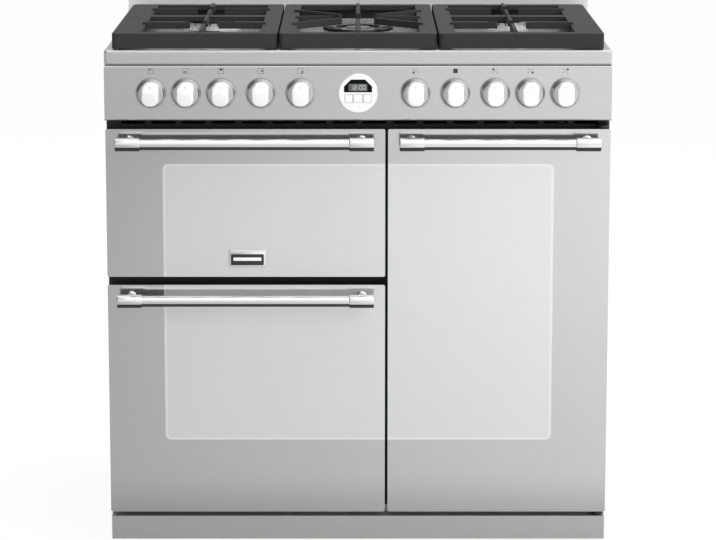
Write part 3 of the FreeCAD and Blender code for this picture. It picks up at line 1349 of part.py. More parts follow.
def check_and_export(pieces):
    """Every object must have built, and every piece must be a valid shape."""
    doc.recompute()
    failed = [item.Name for item in doc.Objects if {"Invalid", "Error"} & set(item.State)]
    if failed:
        raise ValueError(f"not built: {failed}")
    for name, item in pieces.items():
        if item.Shape.isNull() or not item.Shape.isValid() or not item.Shape.Solids:
            raise ValueError(f"{name} is not a valid solid")
        item.Label = name
    os.makedirs("parts", exist_ok=True)
    for name, item in pieces.items():
        item.Shape.exportStep(f"parts/{name}.step")
    print(f"{len(pieces)} nodes, {sum(len(item.Shape.Solids) for item in pieces.values())} solids")


check_and_export(build())
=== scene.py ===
"""Dresses the range cooker: finishes for every part, finer knobs, handles and burners, and the studio.

Lengths are metres in the cooker's own frame: +Z up, the doors face -Y, the floor is z = 0.
A name that ends in _mm holds millimetres, and MM turns it to metres.
"""
from __future__ import annotations

import json
import logging
import math
from dataclasses import dataclass
from enum import Enum
from typing import Any, Iterable, Sequence

import bmesh
import bpy
from mathutils import Euler, Matrix, Vector

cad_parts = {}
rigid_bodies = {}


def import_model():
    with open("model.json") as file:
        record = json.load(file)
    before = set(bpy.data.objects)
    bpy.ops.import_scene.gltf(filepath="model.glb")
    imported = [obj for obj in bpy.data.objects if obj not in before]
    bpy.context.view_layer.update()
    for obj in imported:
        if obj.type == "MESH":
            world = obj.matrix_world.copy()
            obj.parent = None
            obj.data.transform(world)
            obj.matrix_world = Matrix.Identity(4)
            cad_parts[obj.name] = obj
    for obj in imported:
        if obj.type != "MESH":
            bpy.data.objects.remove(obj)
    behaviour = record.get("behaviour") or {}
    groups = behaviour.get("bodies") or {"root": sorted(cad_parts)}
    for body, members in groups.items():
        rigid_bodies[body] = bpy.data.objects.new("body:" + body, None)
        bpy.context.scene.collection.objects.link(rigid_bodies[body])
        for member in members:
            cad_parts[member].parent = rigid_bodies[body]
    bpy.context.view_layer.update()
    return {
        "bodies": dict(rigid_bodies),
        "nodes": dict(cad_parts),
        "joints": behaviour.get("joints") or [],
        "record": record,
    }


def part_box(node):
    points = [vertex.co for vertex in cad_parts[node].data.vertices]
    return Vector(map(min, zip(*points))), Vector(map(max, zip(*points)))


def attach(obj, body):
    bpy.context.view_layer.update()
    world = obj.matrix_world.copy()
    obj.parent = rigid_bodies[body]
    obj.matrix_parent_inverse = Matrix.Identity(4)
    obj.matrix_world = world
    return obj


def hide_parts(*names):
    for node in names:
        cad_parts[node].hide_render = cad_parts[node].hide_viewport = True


LOG = logging.getLogger("range_cooker")
MM = 0.001
Mesh = bmesh.types.BMesh
Tree = bpy.types.NodeTree
Socket = bpy.types.NodeSocket
Outline = list[tuple[float, float]]
Settings = dict[str | int, object]
Links = dict[str | int, Socket]


def linear(hex_colour: str) -> tuple[float, float, float, float]:
    """Turn an sRGB hex colour to linear light.

    Args:
        hex_colour: Six hex digits, such as "c8c8c6".

    Returns:
        Red, green, blue and an alpha of one.
    """
    parts = [int(hex_colour[at:at + 2], 16) / 255 for at in (0, 2, 4)]
    light = [part / 12.92 if part <= 0.04045 else ((part + 0.055) / 1.055) ** 2.4 for part in parts]
    return (light[0], light[1], light[2], 1.0)


def add_node(tree: Tree, kind: str, settings: Settings | None = None,
             links: Links | None = None) -> bpy.types.Node:
    """Add a shader node with its settings and its incoming links.

    Args:
        tree: The tree that gets the node.
        kind: The node's type name.
        settings: Values by input name or number, or by attribute name where no input has it.
        links: Sockets that feed this node, by input name or number.

    Returns:
        The new node.
    """
    node = tree.nodes.new(kind)
    for name, value in (settings or {}).items():
        if isinstance(name, int) or name in node.inputs:
            node.inputs[name].default_value = value
        else:
            setattr(node, name, value)
    for name, source in (links or {}).items():
        tree.links.new(source, node.inputs[name])
    return node


def empty_material(name: str) -> bpy.types.Material:
    """Make a material with an empty node tree.

    Args:
        name: The material's name.

    Returns:
        The new material.
    """
    material = bpy.data.materials.new(name)
    material.use_nodes = True
    material.node_tree.nodes.clear()
    return material


class Texture(Enum):
    """How a surface was made, which decides the pattern in its material."""

    PLAIN = "moulded or glazed smooth"
    BRUSHED = "brushed along the width"
    CAST = "sand cast, or matt"
    SPECKLED = "vitreous enamel with pale specks"
    SPANGLED = "galvanised crystals"
    PEELED = "slight orange peel of a coat or a moulding"
    WOVEN = "braided fibre"
    POLISHED = "plated or polished"


# Marks of handling, some 11 cm apart, that make the shine of every surface slightly uneven.
SMEARS: Settings = {"Scale": 9.0, "Detail": 3.0}
# A brushing line runs on for about a third of a metre.
BRUSHED_PER_METRE = 3.0
# A pale speck is full to a tenth of its cell's size from the cell's middle, and gone at 0.16 of it.
SPECK_EDGE: Settings = {"From Min": 0.16, "From Max": 0.10}
# A wave texture makes some 3.2 waves to a unit of its scale. With the scale divided by this, one wave of
# the braid, a strand over and a strand under, is about two grains long.
BRAID_DIVISOR = 6
# The relief of a pattern at full strength.
RELIEF_MM = 0.4
COAT_ROUGHNESS = 0.04
# Above its fold the hob's sheet fades to this much metal, over this height, so that its pale colour shows: a
# painted reflection that makes the upstand lighter.
UPSTAND_LIGHTENING_METALLIC = 0.2
UPSTAND_LIGHTENING_FADE_MM = 2.0


@dataclass(frozen=True)
class Finish:
    """One real surface: what it is made of, its colours, and its pattern with a size in millimetres."""

    name: str
    colour: str
    second: str
    texture: Texture
    grain_mm: float
    roughness: float
    spread: float = 0.05
    metallic: float = 0.0
    bump: float = 0.0
    coat: float = 0.0
    ior: float = 1.5
    transmission: float = 0.0
    lightened_above_mm: float = 0.0

    def build(self) -> bpy.types.Material:
        """Make the material with its nodes.

        Returns:
            The finished material.
        """
        material = empty_material(self.name)
        tree = material.node_tree
        spot = add_node(tree, "ShaderNodeTexCoord").outputs["Object"]
        pattern = self.pattern(tree, spot)
        mix = add_node(tree, "ShaderNodeMix",
                       {"data_type": "RGBA", 6: linear(self.colour), 7: linear(self.second)}, {0: pattern})
        smears = add_node(tree, "ShaderNodeTexNoise", SMEARS, {"Vector": spot})
        rough = add_node(tree, "ShaderNodeMapRange",
                         {"To Min": self.roughness - self.spread, "To Max": self.roughness + self.spread},
                         {"Value": smears.outputs["Fac"]})
        shader = add_node(tree, "ShaderNodeBsdfPrincipled",
                          {"Metallic": self.metallic, "IOR": self.ior, "Coat Weight": self.coat,
                           "Coat Roughness": COAT_ROUGHNESS, "Transmission Weight": self.transmission},
                          {"Base Color": mix.outputs[2], "Roughness": rough.outputs["Result"]})
        # Above the fold, less metal lets the pale colour show: a painted reflection that lightens the upstand.
        if self.lightened_above_mm > 0:
            axes = add_node(tree, "ShaderNodeSeparateXYZ", {}, {"Vector": spot})
            fold = self.lightened_above_mm * MM
            satin = add_node(tree, "ShaderNodeMapRange",
                             {"From Min": fold, "From Max": fold + UPSTAND_LIGHTENING_FADE_MM * MM,
                              "To Min": self.metallic, "To Max": UPSTAND_LIGHTENING_METALLIC},
                             {"Value": axes.outputs["Z"]})
            tree.links.new(satin.outputs["Result"], shader.inputs["Metallic"])
        if self.bump > 0:
            relief = add_node(tree, "ShaderNodeBump", {"Strength": self.bump, "Distance": RELIEF_MM * MM},
                              {"Height": pattern})
            tree.links.new(relief.outputs["Normal"], shader.inputs["Normal"])
        add_node(tree, "ShaderNodeOutputMaterial", {}, {"Surface": shader.outputs["BSDF"]})
        return material

    def pattern(self, tree: Tree, spot: Socket) -> Socket:
        """Add the nodes of the surface pattern.

        Args:
            tree: The material's tree.
            spot: Object coordinates in metres.

        Returns:
            A value from 0 to 1 over the surface.
        """
        scale = 1 / (self.grain_mm * MM)
        if self.texture is Texture.BRUSHED:
            stretch = add_node(tree, "ShaderNodeMapping", {"Scale": (BRUSHED_PER_METRE, scale, scale)},
                               {"Vector": spot})
            streaks = add_node(tree, "ShaderNodeTexNoise", {"Scale": 1.0, "Detail": 2.0},
                               {"Vector": stretch.outputs["Vector"]})
            return streaks.outputs["Fac"]
        if self.texture is Texture.SPECKLED:
            cells = add_node(tree, "ShaderNodeTexVoronoi", {"Scale": scale}, {"Vector": spot})
            specks = add_node(tree, "ShaderNodeMapRange", SPECK_EDGE, {"Value": cells.outputs["Distance"]})
            return specks.outputs["Result"]
        if self.texture is Texture.SPANGLED:
            cells = add_node(tree, "ShaderNodeTexVoronoi", {"Scale": scale}, {"Vector": spot})
            grey = add_node(tree, "ShaderNodeSeparateColor", {}, {"Color": cells.outputs["Color"]})
            return grey.outputs["Red"]
        if self.texture is Texture.WOVEN:
            weave = add_node(tree, "ShaderNodeTexWave",
                             {"Scale": scale / BRAID_DIVISOR, "Distortion": 1.5, "Detail": 1.0},
                             {"Vector": spot})
            return weave.outputs["Fac"]
        # The other surfaces share one soft noise, and differ in its size and in how much relief it gives.
        noise = add_node(tree, "ShaderNodeTexNoise", {"Scale": scale, "Detail": 4.0}, {"Vector": spot})
        return noise.outputs["Fac"]


@dataclass(frozen=True)
class MirrorDoorGlass:
    """Toughened glass with a steel-toned mirror coat, and one paler zone across the doors that is a painted
    reflection of a softbox.

    The painted reflection, called the window here, has round corners and a lighter painted rim. The coat shows
    the room as a calm grey, and less of the painted reflection is mirror, so that it reads lighter.
    """

    name: str
    # The border is the mirror coat itself. The window and its lighter rim are a painted reflection of a
    # softbox, in colour and in less metal.
    border: str = "d2d2d1"
    window: str = "d6d9d7"
    rim: str = "e2e4e3"
    centre: tuple[float, float] = (0.0005, 0.444)
    half_size: tuple[float, float] = (0.3485, 0.2525)
    corner: float = 0.010
    soft_mm: float = 1.5
    reflection_rim_mm: float = 4.0
    border_metallic: float = 0.92
    reflection_metallic: float = 0.62
    roughness: tuple[float, float] = (0.10, 0.16)
    film_per_metre: float = 14.0

    def build(self) -> bpy.types.Material:
        """Make the mirror glass.

        Returns:
            The finished material.
        """
        material = empty_material(self.name)
        tree = material.node_tree
        spot = add_node(tree, "ShaderNodeTexCoord").outputs["Object"]
        away = self.distance(tree, spot)
        soft, rim = self.soft_mm * MM, self.reflection_rim_mm * MM
        # Inside the outline the coat takes the painted reflection's paler colour, its lighter rim and less
        # metal.
        inside, core = (
            add_node(tree, "ShaderNodeMapRange",
                     {"interpolation_type": "SMOOTHSTEP", "From Min": level + soft, "From Max": level - soft},
                     {"Value": away}).outputs["Result"] for level in (0.0, -rim))
        edge = add_node(tree, "ShaderNodeMix",
                        {"data_type": "RGBA", 6: linear(self.rim), 7: linear(self.window)}, {0: core})
        mix = add_node(tree, "ShaderNodeMix", {"data_type": "RGBA", 6: linear(self.border)},
                       {0: inside, 7: edge.outputs[2]})
        mirror = add_node(tree, "ShaderNodeMapRange",
                          {"To Min": self.border_metallic, "To Max": self.reflection_metallic}, {"Value": inside})
        film = add_node(tree, "ShaderNodeTexNoise", {"Scale": self.film_per_metre, "Detail": 5.0},
                        {"Vector": spot})
        rough = add_node(tree, "ShaderNodeMapRange",
                         {"To Min": self.roughness[0], "To Max": self.roughness[1]},
                         {"Value": film.outputs["Fac"]})
        shader = add_node(tree, "ShaderNodeBsdfPrincipled", {"Coat Weight": 0.3, "Coat Roughness": 0.03},
                          {"Base Color": mix.outputs[2], "Roughness": rough.outputs["Result"],
                           "Metallic": mirror.outputs["Result"]})
        add_node(tree, "ShaderNodeOutputMaterial", {}, {"Surface": shader.outputs["BSDF"]})
        return material

    def distance(self, tree: Tree, spot: Socket) -> Socket:
        """Add the distance out of the rounded outline of the painted reflection, negative inside it.

        Args:
            tree: The material's tree.
            spot: Object coordinates in metres.

        Returns:
            The distance in metres.
        """
        middle = (self.centre[0], 0.0, self.centre[1])
        reach = (self.half_size[0] - self.corner, 0.0, self.half_size[1] - self.corner)
        past = spot
        for operation, amount in (("MULTIPLY", (1.0, 0.0, 1.0)), ("SUBTRACT", middle),
                                  ("ABSOLUTE", (0.0, 0.0, 0.0)), ("SUBTRACT", reach)):
            past = add_node(tree, "ShaderNodeVectorMath", {"operation": operation, 1: amount},
                            {0: past}).outputs["Vector"]
        outer = add_node(tree, "ShaderNodeVectorMath", {"operation": "MAXIMUM", 1: (0.0, 0.0, 0.0)},
                         {0: past})
        round_part = add_node(tree, "ShaderNodeVectorMath", {"operation": "LENGTH"},
                              {0: outer.outputs["Vector"]})
        axes = add_node(tree, "ShaderNodeSeparateXYZ", {}, {"Vector": past})
        larger = add_node(tree, "ShaderNodeMath", {"operation": "MAXIMUM"},
                          {0: axes.outputs["X"], 1: axes.outputs["Z"]})
        inner = add_node(tree, "ShaderNodeMath", {"operation": "MINIMUM", 1: 0.0},
                         {0: larger.outputs["Value"]})
        total = add_node(tree, "ShaderNodeMath", {"operation": "ADD"},
                         {0: round_part.outputs["Value"], 1: inner.outputs["Value"]})
        result = add_node(tree, "ShaderNodeMath", {"operation": "SUBTRACT", 1: self.corner},
                          {0: total.outputs["Value"]})
        return result.outputs["Value"]


# Real brushing lines are about 0.05 mm apart, the grit of a casting about 0.3 mm, and enamel specks under
# 1 mm. None of them shows in the render, so they are drawn coarser here: brushing at 0.5 to 1 mm, castings
# at 1.2 and 1.6 mm, and specks in cells of 6 mm.
FINISHES: dict[str, Finish | MirrorDoorGlass] = {
    # Brushed stainless steel, pressed: soft streaks across, and above its fold an upstand with less metal, a
    # painted reflection that lightens it.
    "hob_steel": Finish("brushed_stainless_hob", "d0d0cf", "c5c5c4", Texture.BRUSHED, 0.7, 0.26, spread=0.04,
                        metallic=0.8, bump=0.06, lightened_above_mm=903.0),
    # Brushed stainless steel, folded: a light even grey that blurs the room.
    "fascia_steel": Finish("brushed_stainless_fascia", "dddddc", "d2d2d1", Texture.BRUSHED, 0.6, 0.28,
                           spread=0.03, metallic=1.0, bump=0.05),
    # Bright chrome plate: a clean mirror with sharp highlights.
    "chrome": Finish("bright_chrome_plate", "f2f2f1", "eaeae9", Texture.POLISHED, 30.0, 0.07, spread=0.02,
                     metallic=1.0),
    # Moulded ABS, satin plated: a soft silver that blurs what it mirrors, so its round shape shows.
    "knob_chrome": Finish("satin_chromed_abs", "d4d4d3", "c8c8c7", Texture.POLISHED, 20.0, 0.30, spread=0.03,
                          metallic=1.0),
    # Mirror coated toughened glass, with a pale painted reflection of a softbox across the doors.
    "mirror_glass": MirrorDoorGlass("silvered_door_glass_painted_reflection"),
    # Toughened float glass: clear and faintly green, with a thin sharp shine.
    "clear_glass": Finish("toughened_pane", "dfe6e4", "d6dedc", Texture.PLAIN, 40.0, 0.03, spread=0.01,
                          ior=1.52, transmission=0.9),
    # Vitreous enamel, glazed: deep black with a wet shine.
    "black_enamel": Finish("black_vitreous_enamel", "141414", "1c1c1c", Texture.PEELED, 2.5, 0.22, bump=0.03,
                           coat=0.3),
    # Matt enamel: a black that mirrors no shapes, so its slots stay quiet.
    "frame_black": Finish("matt_black_frame_enamel", "161616", "1b1b1b", Texture.PEELED, 2.5, 0.5, bump=0.03),
    # Vitreous oven enamel, glazed: blue black with pale specks under a wet shine.
    "oven_enamel": Finish("blue_black_oven_enamel", "1d2126", "5b6166", Texture.SPECKLED, 6.0, 0.25,
                          coat=0.3),
    # Sand cast iron under matt enamel: charcoal with a fine tooth that takes the edge off every highlight.
    "cast_iron": Finish("enamelled_cast_iron", "252526", "323233", Texture.CAST, 1.6, 0.60, spread=0.06,
                        bump=0.35, ior=1.3),
    # Powder coated sheet: anthracite with a slight orange peel.
    "grey_paint": Finish("anthracite_side_paint", "4a4b4d", "525355", Texture.PEELED, 2.0, 0.42, spread=0.04,
                         bump=0.12),
    # Hot dipped sheet: grey crystals, each with a tone of its own.
    "galvanised": Finish("galvanised_sheet", "a7abae", "bcc0c3", Texture.SPANGLED, 14.0, 0.42, spread=0.08,
                         metallic=0.9),
    # Metallic paint on sheet: silver with a low, grainy shine.
    "silver_paint": Finish("silver_plinth_paint", "c3c3c2", "c9c9c8", Texture.PEELED, 1.4, 0.34, spread=0.03,
                           metallic=0.8, bump=0.05),
    # Cast aluminium, dulled by heat, made pale and half matt: its whiteness is partly a painted highlight,
    # standing in for the glints between the black bars.
    "burner_aluminium": Finish("cast_aluminium_burner_painted_glint", "f0f0ef", "e2e2e1", Texture.CAST, 1.2, 0.32,
                               metallic=0.45, bump=0.2),
    # Braided glass fibre: dark and dull, with the rhythm of its strands.
    "seal_fibre": Finish("braided_door_seal", "26272a", "3b3c3f", Texture.WOVEN, 2.0, 0.85, bump=0.6),
    # Moulded nylon: black with a dull skin.
    "foot_plastic": Finish("black_nylon_foot", "1b1b1c", "242425", Texture.PEELED, 1.5, 0.55, bump=0.1),
    # Moulded acrylic over black: one deep tone with a faint sharp shine.
    "display_black": Finish("black_acrylic_lens", "060607", "09090b", Texture.PLAIN, 10.0, 0.10, spread=0.02,
                            ior=1.2),
    # Drawn brass: a warm yellow with faint brushed lines.
    "brass": Finish("drawn_brass", "b8954f", "a88646", Texture.BRUSHED, 1.0, 0.3, metallic=1.0, bump=0.05),
    # Moulded thermoset plastic: cream and dull.
    "switch_plastic": Finish("cream_switch_plastic", "cfcabd", "c5c0b2", Texture.PEELED, 1.2, 0.5),
    # Zinc plated steel: a plain cool grey with soft highlights.
    "steel": Finish("zinc_plated_steel", "9c9ea0", "8c8e90", Texture.CAST, 1.5, 0.35, spread=0.06,
                    metallic=1.0, bump=0.05),
    # Drawn steel tube, browned by heat: nearly black, with a warm cast.
    "element_steel": Finish("heated_element_sheath", "2f2c2a", "453f3a", Texture.CAST, 2.0, 0.5, spread=0.1,
                            metallic=0.7, bump=0.1),
    # Pressed aluminium: a light grey with faint lines of the roll.
    "aluminium_wheel": Finish("pressed_aluminium_wheel", "a9abac", "989a9b", Texture.BRUSHED, 1.0, 0.35,
                              metallic=1.0, bump=0.05),
    # Fired and glazed ceramic: off-white with a soft shine.
    "ceramic": Finish("igniter_ceramic", "e9e6df", "dedad2", Texture.PLAIN, 3.0, 0.35),
    # Screen printed ink: flat grey lines with no shine of their own.
    "print_grey": Finish("screen_printed_ink", "77787a", "707173", Texture.PLAIN, 1.0, 0.6),
    # The same ink, printed solid: dark enough to pick out one mark from the rest.
    "print_dark": Finish("screen_printed_dark_ink", "343536", "2f3031", Texture.PLAIN, 1.0, 0.6),
    # Liquid crystal behind acrylic: a flat, slightly cool grey.
    "lcd_grey": Finish("lcd_window", "55595a", "4e5253", Texture.PLAIN, 3.0, 0.3, spread=0.04),
    # Lit liquid crystal: pale figures that read against the window.
    "lcd_digit": Finish("lcd_segment", "c9cdcc", "c1c5c4", Texture.PLAIN, 3.0, 0.4, spread=0.04),
    # Brushed and anodised aluminium: charcoal with a soft sheen.
    "badge_dark": Finish("dark_anodised_plate", "3c3d3f", "464749", Texture.BRUSHED, 0.5, 0.35, metallic=0.8,
                         bump=0.05),
    # A painted dark reflection: a duller, darker finish for the band along the lower side of each handle, whose
    # metal is the same all round.
    "handle_core": Finish("handle_painted_dark_reflection", "363637", "3e3e3f", Texture.BRUSHED, 0.8, 0.4,
                          metallic=0.5, bump=0.03),
    # Satin plate over moulded ABS, made nearly white and half matt: real plating, with its whiteness a painted
    # highlight that stands in for the light it catches.
    "grip_chrome": Finish("satin_plated_grip_painted_highlight", "fbfbfa", "f4f4f3", Texture.POLISHED, 20.0, 0.22, spread=0.03,
                          metallic=0.55),
}


class Paintbox:
    """Builds each finish once and hands it out."""

    def __init__(self) -> None:
        """Start with no material made."""
        self.made: dict[str, bpy.types.Material] = {}

    def get(self, name: str) -> bpy.types.Material:
        """Find the material of a finish, and make it on first use.

        Args:
            name: The key of the finish.

        Returns:
            Its material.
        """
        if name not in self.made:
            self.made[name] = FINISHES[name].build()
        return self.made[name]


PAINT = Paintbox()
BEVEL_FROM_DEGREES = 40
BEVEL_SEGMENTS = 2


def smooth(piece: bpy.types.Object, degrees: float = 32.0) -> None:
    """Shade a mesh smooth, but keep the edges sharper than an angle."""
    piece.data.shade_smooth()
    piece.data.set_sharp_from_angle(angle=math.radians(degrees))


def add_bevel(piece: bpy.types.Object, width_mm: float) -> None:
    """Round the sharp edges of a piece with a modifier that leaves its mesh alone.

    Args:
        piece: The object that gets the modifier.
        width_mm: The width of the rounding.
    """
    bevel = piece.modifiers.new("rounded_edges", "BEVEL")
    bevel.width = width_mm * MM
    bevel.segments = BEVEL_SEGMENTS
    bevel.limit_method = "ANGLE"
    bevel.angle_limit = math.radians(BEVEL_FROM_DEGREES)
    bevel.harden_normals = False


def put_in_scene(name: str, data: bpy.types.ID) -> bpy.types.Object:
    """Make an object of a mesh, a lamp or a camera and link it to the scene.

    Args:
        name: The object's name.
        data: Its mesh, lamp or camera.

    Returns:
        The new object.
    """
    thing = bpy.data.objects.new(name, data)
    bpy.context.scene.collection.objects.link(thing)
    return thing


def piece_from(name: str, mesh: Mesh, body: str, finish: str, replaces: Sequence[str] = ()) -> bpy.types.Object:
    """Turn a bmesh to an object that rides on a body.

    Args:
        name: The object's name.
        mesh: Its shape in the cooker's frame, freed here.
        body: The body that it moves with.
        finish: The key of its finish.
        replaces: The CAD nodes that it stands for.

    Returns:
        The new object.
    """
    bmesh.ops.recalc_face_normals(mesh, faces=mesh.faces[:])
    data = bpy.data.meshes.new(name)
    mesh.to_mesh(data)
    mesh.free()
    piece = put_in_scene(name, data)
    piece.data.materials.append(PAINT.get(finish))
    smooth(piece)
    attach(piece, body)
    if replaces:
        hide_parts(*replaces)
    LOG.info("%s rides on %s", name, body)
    return piece


def rounded_outline(width: float, height: float, corner: float, steps: int = 5) -> Outline:
    """A rectangle with round corners, about the origin.

    Args:
        width: Its size across.
        height: Its size up.
        corner: The corner radius.
        steps: Points for each corner.

    Returns:
        The points in order.
    """
    points: Outline = []
    for quarter, (sign_x, sign_y) in enumerate(((1, 1), (-1, 1), (-1, -1), (1, -1))):
        centre = (sign_x * (width / 2 - corner), sign_y * (height / 2 - corner))
        for step in range(steps + 1):
            angle = math.radians(90 * quarter + 90 * step / steps)
            points.append((centre[0] + corner * math.cos(angle), centre[1] + corner * math.sin(angle)))
    return points


def bridge(mesh: Mesh, loops: Sequence[Sequence[bmesh.types.BMVert]]) -> None:
    """Join rings of equal length with quads, one after another.

    Args:
        mesh: The bmesh that gets the faces.
        loops: The rings, each as its points in order.
    """
    for lower, upper in zip(loops, loops[1:]):
        count = len(lower)
        for at in range(count):
            after = (at + 1) % count
            mesh.faces.new((lower[at], lower[after], upper[after], upper[at]))


def add_stack(mesh: Mesh, loops: Sequence[Sequence[bmesh.types.BMVert]]) -> None:
    """Join rings to a solid and close both of its ends.

    Args:
        mesh: The bmesh that gets the faces.
        loops: The rings, from one end to the other.
    """
    bridge(mesh, loops)
    mesh.faces.new(loops[0])
    mesh.faces.new(loops[-1])


def add_slab(mesh: Mesh, centre: Vector, size: tuple[float, float, float], corner: float,
             edge: float, steps: int = 4) -> None:
    """Add a plate that faces -Y, with round corners and a rounded front edge.

    Args:
        mesh: The bmesh that gets it.
        centre: The middle of the plate's back.
        size: Width, height and thickness.
        corner: Radius of the corners seen from the front.
        edge: Radius between the sides and the front.
        steps: Points over each rounding.
    """
    width, height, thick = size
    rings = [(0.0, 0.0)]
    for step in range(steps + 1):
        angle = math.radians(90 * step / steps)
        rings.append((thick - edge + edge * math.sin(angle), edge * (1 - math.cos(angle))))
    loops = []
    for depth, inset in rings:
        outline = rounded_outline(width - 2 * inset, height - 2 * inset, max(corner - inset, 0.1 * MM))
        loops.append([mesh.verts.new(centre + Vector((x, -depth, z))) for x, z in outline])
    add_stack(mesh, loops)


def add_turned(mesh: Mesh, profile: Outline, place: Matrix, steps: int, ring: bool = False) -> None:
    """Add a turned solid from (radius, height) points, about the Z axis of a placing.

    Args:
        mesh: The bmesh that gets it.
        profile: Radius and height, from one end to the other, or round the section of a ring.
        place: Where the solid's own frame lies.
        steps: Points round the axis.
        ring: Whether the last point joins the first, where otherwise both ends are closed.
    """
    loops = []
    for radius, height in profile:
        loops.append([mesh.verts.new(place @ Vector((radius * math.cos(math.tau * at / steps),
                                                     radius * math.sin(math.tau * at / steps), height)))
                      for at in range(steps)])
    if ring:
        bridge(mesh, loops + [loops[0]])
    else:
        add_stack(mesh, loops)


def soft_corner(start: tuple[float, float], corner: tuple[float, float], end: tuple[float, float],
                steps: int = 4) -> Outline:
    """A smooth bend from start to end that leans into a corner.

    Args:
        start: Its first point.
        corner: The point that it leans toward.
        end: Its last point.
        steps: Lines along the bend.

    Returns:
        The points in order.
    """
    points: Outline = []
    for step in range(steps + 1):
        share = step / steps
        weights = (1 - share) ** 2, 2 * share * (1 - share), share ** 2
        points.append((weights[0] * start[0] + weights[1] * corner[0] + weights[2] * end[0],
                       weights[0] * start[1] + weights[1] * corner[1] + weights[2] * end[1]))
    return points


def middle_of(node: str) -> Vector:
    """The middle of a CAD node's box."""
    low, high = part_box(node)
    return (low + high) / 2


TOWARD_FRONT = Euler((math.radians(90), 0, 0)).to_matrix().to_4x4()
ALONG_X = Euler((0, math.radians(90), 0)).to_matrix().to_4x4()


@dataclass
class CarriedNodes:
    """The CAD nodes: each gets its real finish and smooth shading, and those in bevels get rounded edges."""

    bevels: tuple[tuple[str, float], ...] = (
        ("pan_support_left", 1.2), ("pan_support_centre", 1.2), ("pan_support_right", 1.2),
        ("burner_heads", 0.4), ("clock_bezel", 0.4), ("upper_door_glass", 0.6), ("lower_door_glass", 0.6),
        ("right_door_glass", 0.6), ("side_panels", 0.5), ("plinth", 0.8), ("hob_top", 0.5))
    # The satin ones take the nearly white grip finish, whose whiteness is a painted highlight.
    satin: tuple[str, ...] = ("clock_bezel", "timer_button_left", "timer_button_middle", "timer_button_right")
    matt: tuple[str, ...] = ("front_frame", "hinge_brackets")
    sharp_from: float = 28.0

    def dress(self, frame: dict[str, Any]) -> None:
        """Give each node the finish of its slot in the record, apart from the matt and the satin ones.
        """
        slots = {row["node"]: row["material_slot"] for row in frame["record"]["subparts"]}
        slots.update({name: "frame_black" for name in self.matt})
        slots.update({name: "grip_chrome" for name in self.satin})
        for name, node in frame["nodes"].items():
            node.data.materials.clear()
            node.data.materials.append(PAINT.get(slots[name]))
            smooth(node, self.sharp_from)
            LOG.info("%s is dressed in %s", name, slots[name])
        for name, width in self.bevels:
            add_bevel(frame["nodes"][name], width)


